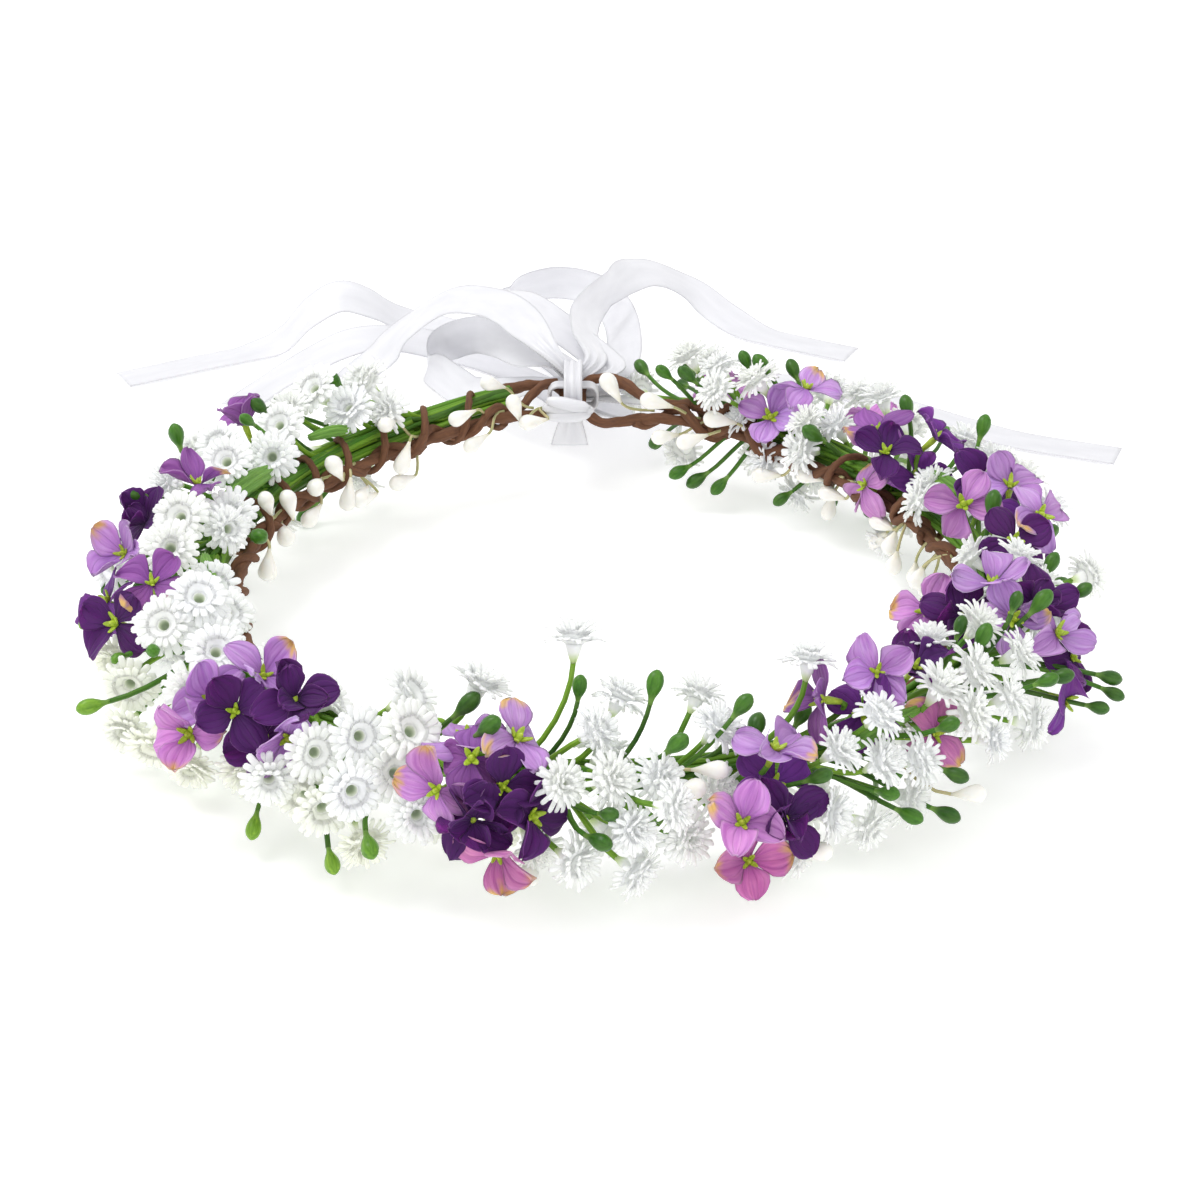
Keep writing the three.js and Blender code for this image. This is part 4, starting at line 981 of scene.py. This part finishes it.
# Each kind of blossom: its layers, how far their petals are fused, how far they lean forward,
# the width of their fingers, how deep the fingers' tips are notched and how ragged they lie.
ROUND_BLOSSOMS = [(ROUND_LAYERS[:2], 0.52, 2, 1.0, 0.15, 6), (ROUND_LAYERS[:2], 0.48, 10, 1.0, 0.3, 7),
                  (ROUND_LAYERS[:2], 0.54, -6, 1.05, 0.2, 7), (ROUND_LAYERS, 0.48, 4, 0.95, 0.3, 8)]
SHAGGY_BLOSSOMS = [(SHAGGY_LAYERS[:3], 0.50, 6, 0.84, 0.5, 12), (SHAGGY_LAYERS, 0.46, 14, 0.78, 0.5, 14),
                   (SHAGGY_LAYERS, 0.52, 0, 0.84, 0.4, 13), (SHAGGY_LAYERS, 0.46, 24, 0.78, 0.5, 12)]


def spun(form, angle):
    c, s = math.cos(angle), math.sin(angle)
    return form[0] @ np.array([[c, s, 0], [-s, c, 0], [0, 0, 1]]), form[1], form[2]


def blossom(layers, fused, lift, broad, notch, ragged):
    """One blossom with its mouth at the origin, facing +Z; lift closes its petals forward."""
    forms = [turned(BELL, 14, inner_from=BELL_INNER)]
    for count, start, reach, width, (first, last) in layers:
        phase, tilt_phase, fold_phase = RANDOM.uniform(0, 6, 3)
        angles = (first + lift * 0.6, last + lift)

        def wave(phi):
            return 9 * math.sin(2 * phi + tilt_phase) + 7 * math.sin(5 * phi + fold_phase)

        forms.append(skirt(start, reach, fused, angles, wave))
        for k in range(count):
            phi = phase + 2 * math.pi * (k + RANDOM.uniform(-0.02, 0.02) * ragged) / count
            made = finger(start, reach * (1 + RANDOM.uniform(-0.014, 0.008) * ragged),
                          width * broad * RANDOM.uniform(0.88, 1.1),
                          (angles[0] + wave(phi) * 0.5, angles[1] + wave(phi) + RANDOM.normal(0, ragged)),
                          0.3, (0.92, 1.0, 1.0, 0.88, 0.5), notch, fused - 0.16)
            forms.append(spun(made, phi))
    return joined(forms)


BUD_PROFILE = [(0.7, -2.2), (0.8, -1.0), (1.05, 0.0), (1.6, 1.1), (2.15, 2.4), (2.45, 3.8), (2.4, 5.0),
               (2.0, 6.2), (1.25, 7.1), (0.5, 7.6)]
CALYX_PROFILE = [(0.7, -4.8), (0.85, -3.0), (1.0, -1.2), (0.8, 0.2)]
STAR_PROFILE = [(0.9, -0.8), (1.15, 0.2), (0.9, 1.2), (0.5, 2.0), (0.15, 2.5)]
BERRY_PROFILE = [(0.4, 0), (0.62, 1.0), (1.05, 2.4), (1.65, 4.0), (2.2, 5.6), (2.5, 7.0), (2.4, 8.1),
                 (1.9, 9.1), (1.1, 9.7), (0.4, 9.95)]


BERRY_HALF, BERRY_FLOOR = 5.0, 8.0      # half of its length, and its middle's least height
BERRY_WIRE = (0.55, 0.5, 0.3, 0)
PETAL_HALF_THICK = 0.11


def petal(length, width, cup, curl, twist, sway):
    """One cloth petal along +X, facing +Z, with a frayed outline: cup bends it across, curl along,
    twist turns its end and sway carries it sideways."""
    stations, count = 13, 11
    s = 1 - (1 - np.linspace(0, 1, stations)) ** 1.35
    s[-1] = 0.992
    outline = np.where(s < 0.58, 0.20 + 0.80 * np.sin(np.clip(s / 0.58, 0, 1) * math.pi / 2) ** 1.5,
                       np.sqrt(np.clip(1 - ((s - 0.58) / 0.42) ** 2.0, 0.012, 1)))
    j = np.linspace(-1, 1, count)
    fray = 1 + RANDOM.normal(0, 0.018, (stations, 2)) * (s > 0.3)[:, None]
    y = width / 2 * outline[:, None] * j * np.where(j < 0, fray[:, :1], fray[:, 1:])
    frayed_end = RANDOM.normal(0, 0.1, (stations, count)) * (s > 0.95)[:, None]
    s = s[:, None]
    x = length * s * np.ones(count) + frayed_end
    ruffle = RANDOM.uniform(0.3, 1.0) * np.sin(j * RANDOM.uniform(2.6, 5.0) + RANDOM.uniform(0, 6)) \
        * s ** 1.8
    crease = 0.35 * np.exp(-(j / 0.16) ** 2) * np.sin(s * math.pi * 0.85)
    z = cup * (y / (width / 2)) ** 2 + curl * s ** 2 - crease + ruffle
    c, d = np.cos(twist * s), np.sin(twist * s)
    middle = np.stack([x, y * c - z * d + sway * s ** 2, y * d + z * c], -1)
    lift = np.array([0, 0, PETAL_HALF_THICK])
    marks = np.stack(np.broadcast_arrays(s, j, RANDOM.random()), -1)
    return loft(both_faces(middle + lift, middle - lift), both_faces(marks, marks))


def tilted(form, tilt, start):
    """A form along +X, raised by a tilt in degrees and begun a little way out."""
    c, s = math.cos(math.radians(tilt)), math.sin(math.radians(tilt))
    turn = np.array([[c, 0, -s], [0, 1, 0], [s, 0, c]])
    return form[0] @ turn.T + (start, 0, 0), form[1], form[2]


DYES = {"lavender": (0.55, 0.33, 0.69), "orchid": (0.62, 0.30, 0.64), "pink": (0.62, 0.23, 0.48),
        "mauve": (0.30, 0.11, 0.38), "violet": (0.15, 0.025, 0.25), "dark": (0.068, 0.004, 0.115)}
OCHRE_SHARE = {"lavender": 0.10, "orchid": 0.22, "pink": 0.40, "mauve": 0.15, "violet": 0.0, "dark": 0.0}
DOUBLE_SHARE = 0.4


def stalk(start, start_heading, base, direction):
    """A smooth stem from the bundle to a flower's base."""
    gap = np.linalg.norm(base - start)
    leaving, arriving = start + start_heading * gap * 0.38, base - direction * gap * 0.3
    t = np.linspace(0, 1, 9)[:, None]
    return ((1 - t) ** 3 * start + 3 * t * (1 - t) ** 2 * leaving
            + 3 * t * t * (1 - t) * arriving + t ** 3 * base)


def stem_path(root, angle, slot, base, direction, leave):
    """From the root along the bundle in its own slot, and out to the flower."""
    leave_at = max(root + 1.0, angle - leave)
    swirl = slot[0] + np.linspace(0, 0.6, 6)
    run = [lane(a, 6.4 + slot[1] * math.cos(w), 2.4 + slot[1] * math.sin(w))
           for a, w in zip(np.linspace(root, leave_at, 6), swirl)]
    out = stalk(run[-1], along(leave_at), base, direction)
    return np.vstack([smooth_path(run, 4.0)[:-1], out])


def green(low, high):
    share = RANDOM.random()
    tone = np.array(low) * (1 - share) + np.array(high) * share
    return (*tone, 0)


DEEP_GREEN, BUD_GREEN = (0.018, 0.085, 0.010), (0.045, 0.18, 0.014)
LEAF_GREEN, PALE_GREEN = (0.050, 0.20, 0.016), (0.21, 0.42, 0.035)


def facing(angle, tilt, forward):
    """The way a flower looks: outward, leaning forward along the ring."""
    return unit(outward(angle, tilt) * 0.7 + along(angle) * forward + RANDOM.normal(0, 0.10, 3))


# How far behind a flower's place its stem ends, and how far behind it a bud sits.
BLOSSOM_BASE, BUD_BASE, BUD_SEAT, FLORET_BASE = 8.0, 4.6, 3.0, 4.5
SHEATH_GREEN = (0.14, 0.33, 0.06, 0)
PLAIN = (1, 1, 1, 0)


def any_spin(direction):
    """A turn to a direction, with any spin about it."""
    return turned_to(direction, RANDOM.uniform(0, 6))


def add_stem(skin, path, thick, thin, tone):
    skin.add(tube(path, np.linspace(thick, thin, len(path)), sides=8, lobes=4, lobe=0.1, twist=0.05), tone)


def hand_over(node, label, side, *parts):
    """Makes each part's (skin, name, material) into a piece that stands for part of the node."""
    for skin, part, material in parts:
        if skin.forms:
            ride(skin.piece(f"{label}_{part}", material, node), side)


def add_blossom(heads, shapes, spot, direction, place):
    """One white blossom; gives back where its stem ends, the stem's tone and its radius there."""
    angle, tilt, _ = spot
    turn = any_spin(direction)
    # Painted shade: on top of a random warm tone, the low blossoms at the front left get a yellower tint
    # for the warm shading on the crown's lower side.
    warm_tone_and_lower_shade = RANDOM.uniform(0, 0.5) + (1.0 if tilt < 12 and 190 < angle < 262 else 0)
    dye = (0.91 - 0.01 * warm_tone_and_lower_shade, 0.92 - 0.01 * warm_tone_and_lower_shade, 0.93 - 0.12 * warm_tone_and_lower_shade, 0)
    shaggy = not 122 < angle < 258 or RANDOM.random() < 0.15
    size = RANDOM.uniform(0.80, 0.93) if shaggy else RANDOM.uniform(0.90, 1.02)
    heads.add(shapes[shaggy][RANDOM.integers(4)], dye, turn, place, size)
    return place - direction * BLOSSOM_BASE * size, green(LEAF_GREEN, PALE_GREEN), 0.72


def add_bud(buds, shape, spot, direction, place):
    """One green bud; gives back the same facts of its stem."""
    size = RANDOM.uniform(0.66, 0.92)
    young = 185 < spot[0] < 250
    buds.add(shape, green(LEAF_GREEN, PALE_GREEN) if young else green(DEEP_GREEN, BUD_GREEN),
             any_spin(direction), place - direction * BUD_SEAT * size, size)
    return place - direction * BUD_BASE * size, green(DEEP_GREEN, LEAF_GREEN), 0.62


def add_sheath(skin, start, end, reach):
    first, last = flower_at(*start), flower_at(*end)
    line = smooth_path([first, (first + last) / 2 + (0, 0, 0.8), last], 1.5)
    swell = 0.85 * reach * np.sin(np.linspace(0.5, 2.75, len(line))) ** 0.7
    skin.add(tube(line, swell, sides=42, lobes=7, lobe=0.2, twist=0.03), SHEATH_GREEN)


def spray_pieces(side, flowers, shapes, bud):
    for i, (root, first, last) in enumerate(SECTORS[side]):
        stems, heads, buds = Skin(), Skin(), Skin()
        grown = [f for f in flowers if f[0] != "floret" and first <= f[1][0] < last]
        for serial, (kind, spot, _, _, place) in enumerate(grown):
            angle, tilt, depth = spot
            direction = facing(angle, tilt, 0.15 if depth > 25 else 0.35 if -60 < angle < 60 else 0.6)
            if kind == "blossom":
                base, tone, thin = add_blossom(heads, shapes, spot, direction, place)
            else:
                base, tone, thin = add_bud(buds, bud, spot, direction, place)
            slot = (serial * 2.4, 3.5 * math.sqrt((serial % 9 + 0.5) / 9))
            path = stem_path(root, angle, slot, base, direction, RANDOM.uniform(9, 15))
            add_stem(stems, path, 0.85, thin, tone)
        for start, end, reach, *home in SHEATHS:
            if home == [side, i]:
                add_sheath(stems, start, end, reach)
        hand_over(f"gypsophila_spray_{side}_{i + 1}", f"spray_{side}_{i + 1}", side,
                  (stems, "stems", "green_stem"), (heads, "blossoms", "white_blossom"),
                  (buds, "buds", "green_bud"))


def cluster_pieces(side, flowers):
    for node, root, first, last in CLUSTERS[side]:
        cloth, lime, stems = Skin(), Skin(), Skin()
        grown = [f for f in flowers if f[0] == "floret" and first <= f[1][0] < last]
        for serial, (_, (angle, tilt, _), tone, face, place) in enumerate(grown):
            direction = facing(angle, tilt, 0.25) if face is None else unit(face)
            turn = any_spin(direction)
            add_floret(cloth, lime, tone, turn, place)
            path = stem_path(root - 4, angle, (serial * 2.1 + 1.0, 2.0),
                             place - direction * FLORET_BASE, direction, 9)
            add_stem(stems, path, 0.9, 0.7, green(LEAF_GREEN, PALE_GREEN))
            lime.add(turned(CALYX_PROFILE, 10), PLAIN, turn, place)
        hand_over(node, node, side, (cloth, "petals", "hydrangea_cloth"),
                  (lime, "calyxes", "lime_calyx"), (stems, "stems", "green_stem"))


def flower_pieces():
    flowers = flower_set()
    shapes = {False: [blossom(*kind) for kind in ROUND_BLOSSOMS],
              True: [blossom(*kind) for kind in SHAGGY_BLOSSOMS]}
    bud = turned(BUD_PROFILE, 12, lobes=4, lobe=0.045)
    for side in SIDES:
        spray_pieces(side, flowers, shapes, bud)
        cluster_pieces(side, flowers)


def add_floret(cloth, lime, tone, turn, place):
    """Four petals and a lime star; some of the dark florets are double, with petals inside."""
    openness = RANDOM.uniform(-6, 34)
    start = RANDOM.uniform(0, 6)
    inner = 3 if tone == "dark" and RANDOM.random() < DOUBLE_SHARE else 0
    for k in range(4 + inner):
        small, rise, between = (0.74, 38, 2 * math.pi / 3) if k >= 4 else (1.0, 0, math.pi / 2)
        form = petal(small * RANDOM.uniform(8.8, 10.4), small * RANDOM.uniform(8.0, 9.6),
                     RANDOM.normal(1.4, 1.8), RANDOM.uniform(-4.2, 2.4), RANDOM.normal(0, 0.36),
                     RANDOM.normal(0, 0.8))
        form = tilted(form, openness + RANDOM.normal(0, 14) + rise, 0.6)
        tint = np.array(DYES[tone]) * RANDOM.uniform(0.88, 1.12) * RANDOM.uniform(0.96, 1.04, 3)
        ochre = float(RANDOM.random() < OCHRE_SHARE[tone])
        form = spun(form, start + k * between + RANDOM.normal(0, 0.14))
        cloth.add((form[0] + (0, 0, 0.35 * (k % 2)), form[1], form[2]), (*tint, ochre), turn, place)
    if inner:
        return
    size = RANDOM.uniform(0.72, 1.0)
    prongs = [turned(STAR_PROFILE, 10)]
    for k in range(4):
        prong = finger((0.5, 0.3), 3.4 * RANDOM.uniform(0.8, 1.1), 1.7,
                       (34 + RANDOM.normal(0, 8), 66), 0.36, (1.0, 0.95, 0.74, 0.42, 0.06), 0)
        prongs.append(spun(prong, start + 0.8 + k * math.pi / 2 + RANDOM.normal(0, 0.12)))
    lime.add(joined(prongs), PLAIN, turn, place, size)


def berry_pieces():
    berry = turned(BERRY_PROFILE, 16, lobes=3, lobe=0.03)
    for side in SIDES:
        for i, (root, first, last) in enumerate(PICKS[side]):
            fruit, wires = Skin(), Skin()
            for angle, tilt, depth, pose in BERRIES:
                if not first <= angle < last:
                    continue
                lean = {"along": along(angle) * 0.9 + outward(angle, tilt) * 0.35,
                        "up": np.array([0, 0, 1.0]) + along(angle) * 0.4,
                        "hang": np.array([0, 0, -1.0]) + along(angle) * 0.5}[pose]
                direction = unit(lean + RANDOM.normal(0, 0.14, 3))
                place = flower_at(angle, tilt, depth)
                place[2] = max(place[2], BERRY_FLOOR)
                size = RANDOM.uniform(0.88, 1.05)
                base = place - direction * BERRY_HALF * size
                fruit.add(berry, PLAIN, any_spin(direction), base, size)
                leave = max(root, angle - 7)
                path = stalk(lane(leave, 0, 1.6), along(leave), base + direction * 0.4, direction)
                wires.add(tube(path, 0.42, 7, lobes=3, lobe=0.1, twist=1.5), BERRY_WIRE)
            node = f"berry_pick_{side}_{i + 1}"
            hand_over(node, node, side, (fruit, "berries", "cream_berry"), (wires, "wires", "green_stem"))


flower_pieces()
berry_pieces()

# ---- Floor -------------------------------------------------------------------------------
plane = bpy.data.meshes.new("floor")
FLOOR_HALF = 6.0
plane.from_pydata([(FLOOR_HALF * x, FLOOR_HALF * y, 0) for x, y in ((-1, -1), (1, -1), (1, 1), (-1, 1))],
                  [], [(0, 1, 2, 3)])
plane.materials.append(floor_material())
link(bpy.data.objects.new("floor", plane))
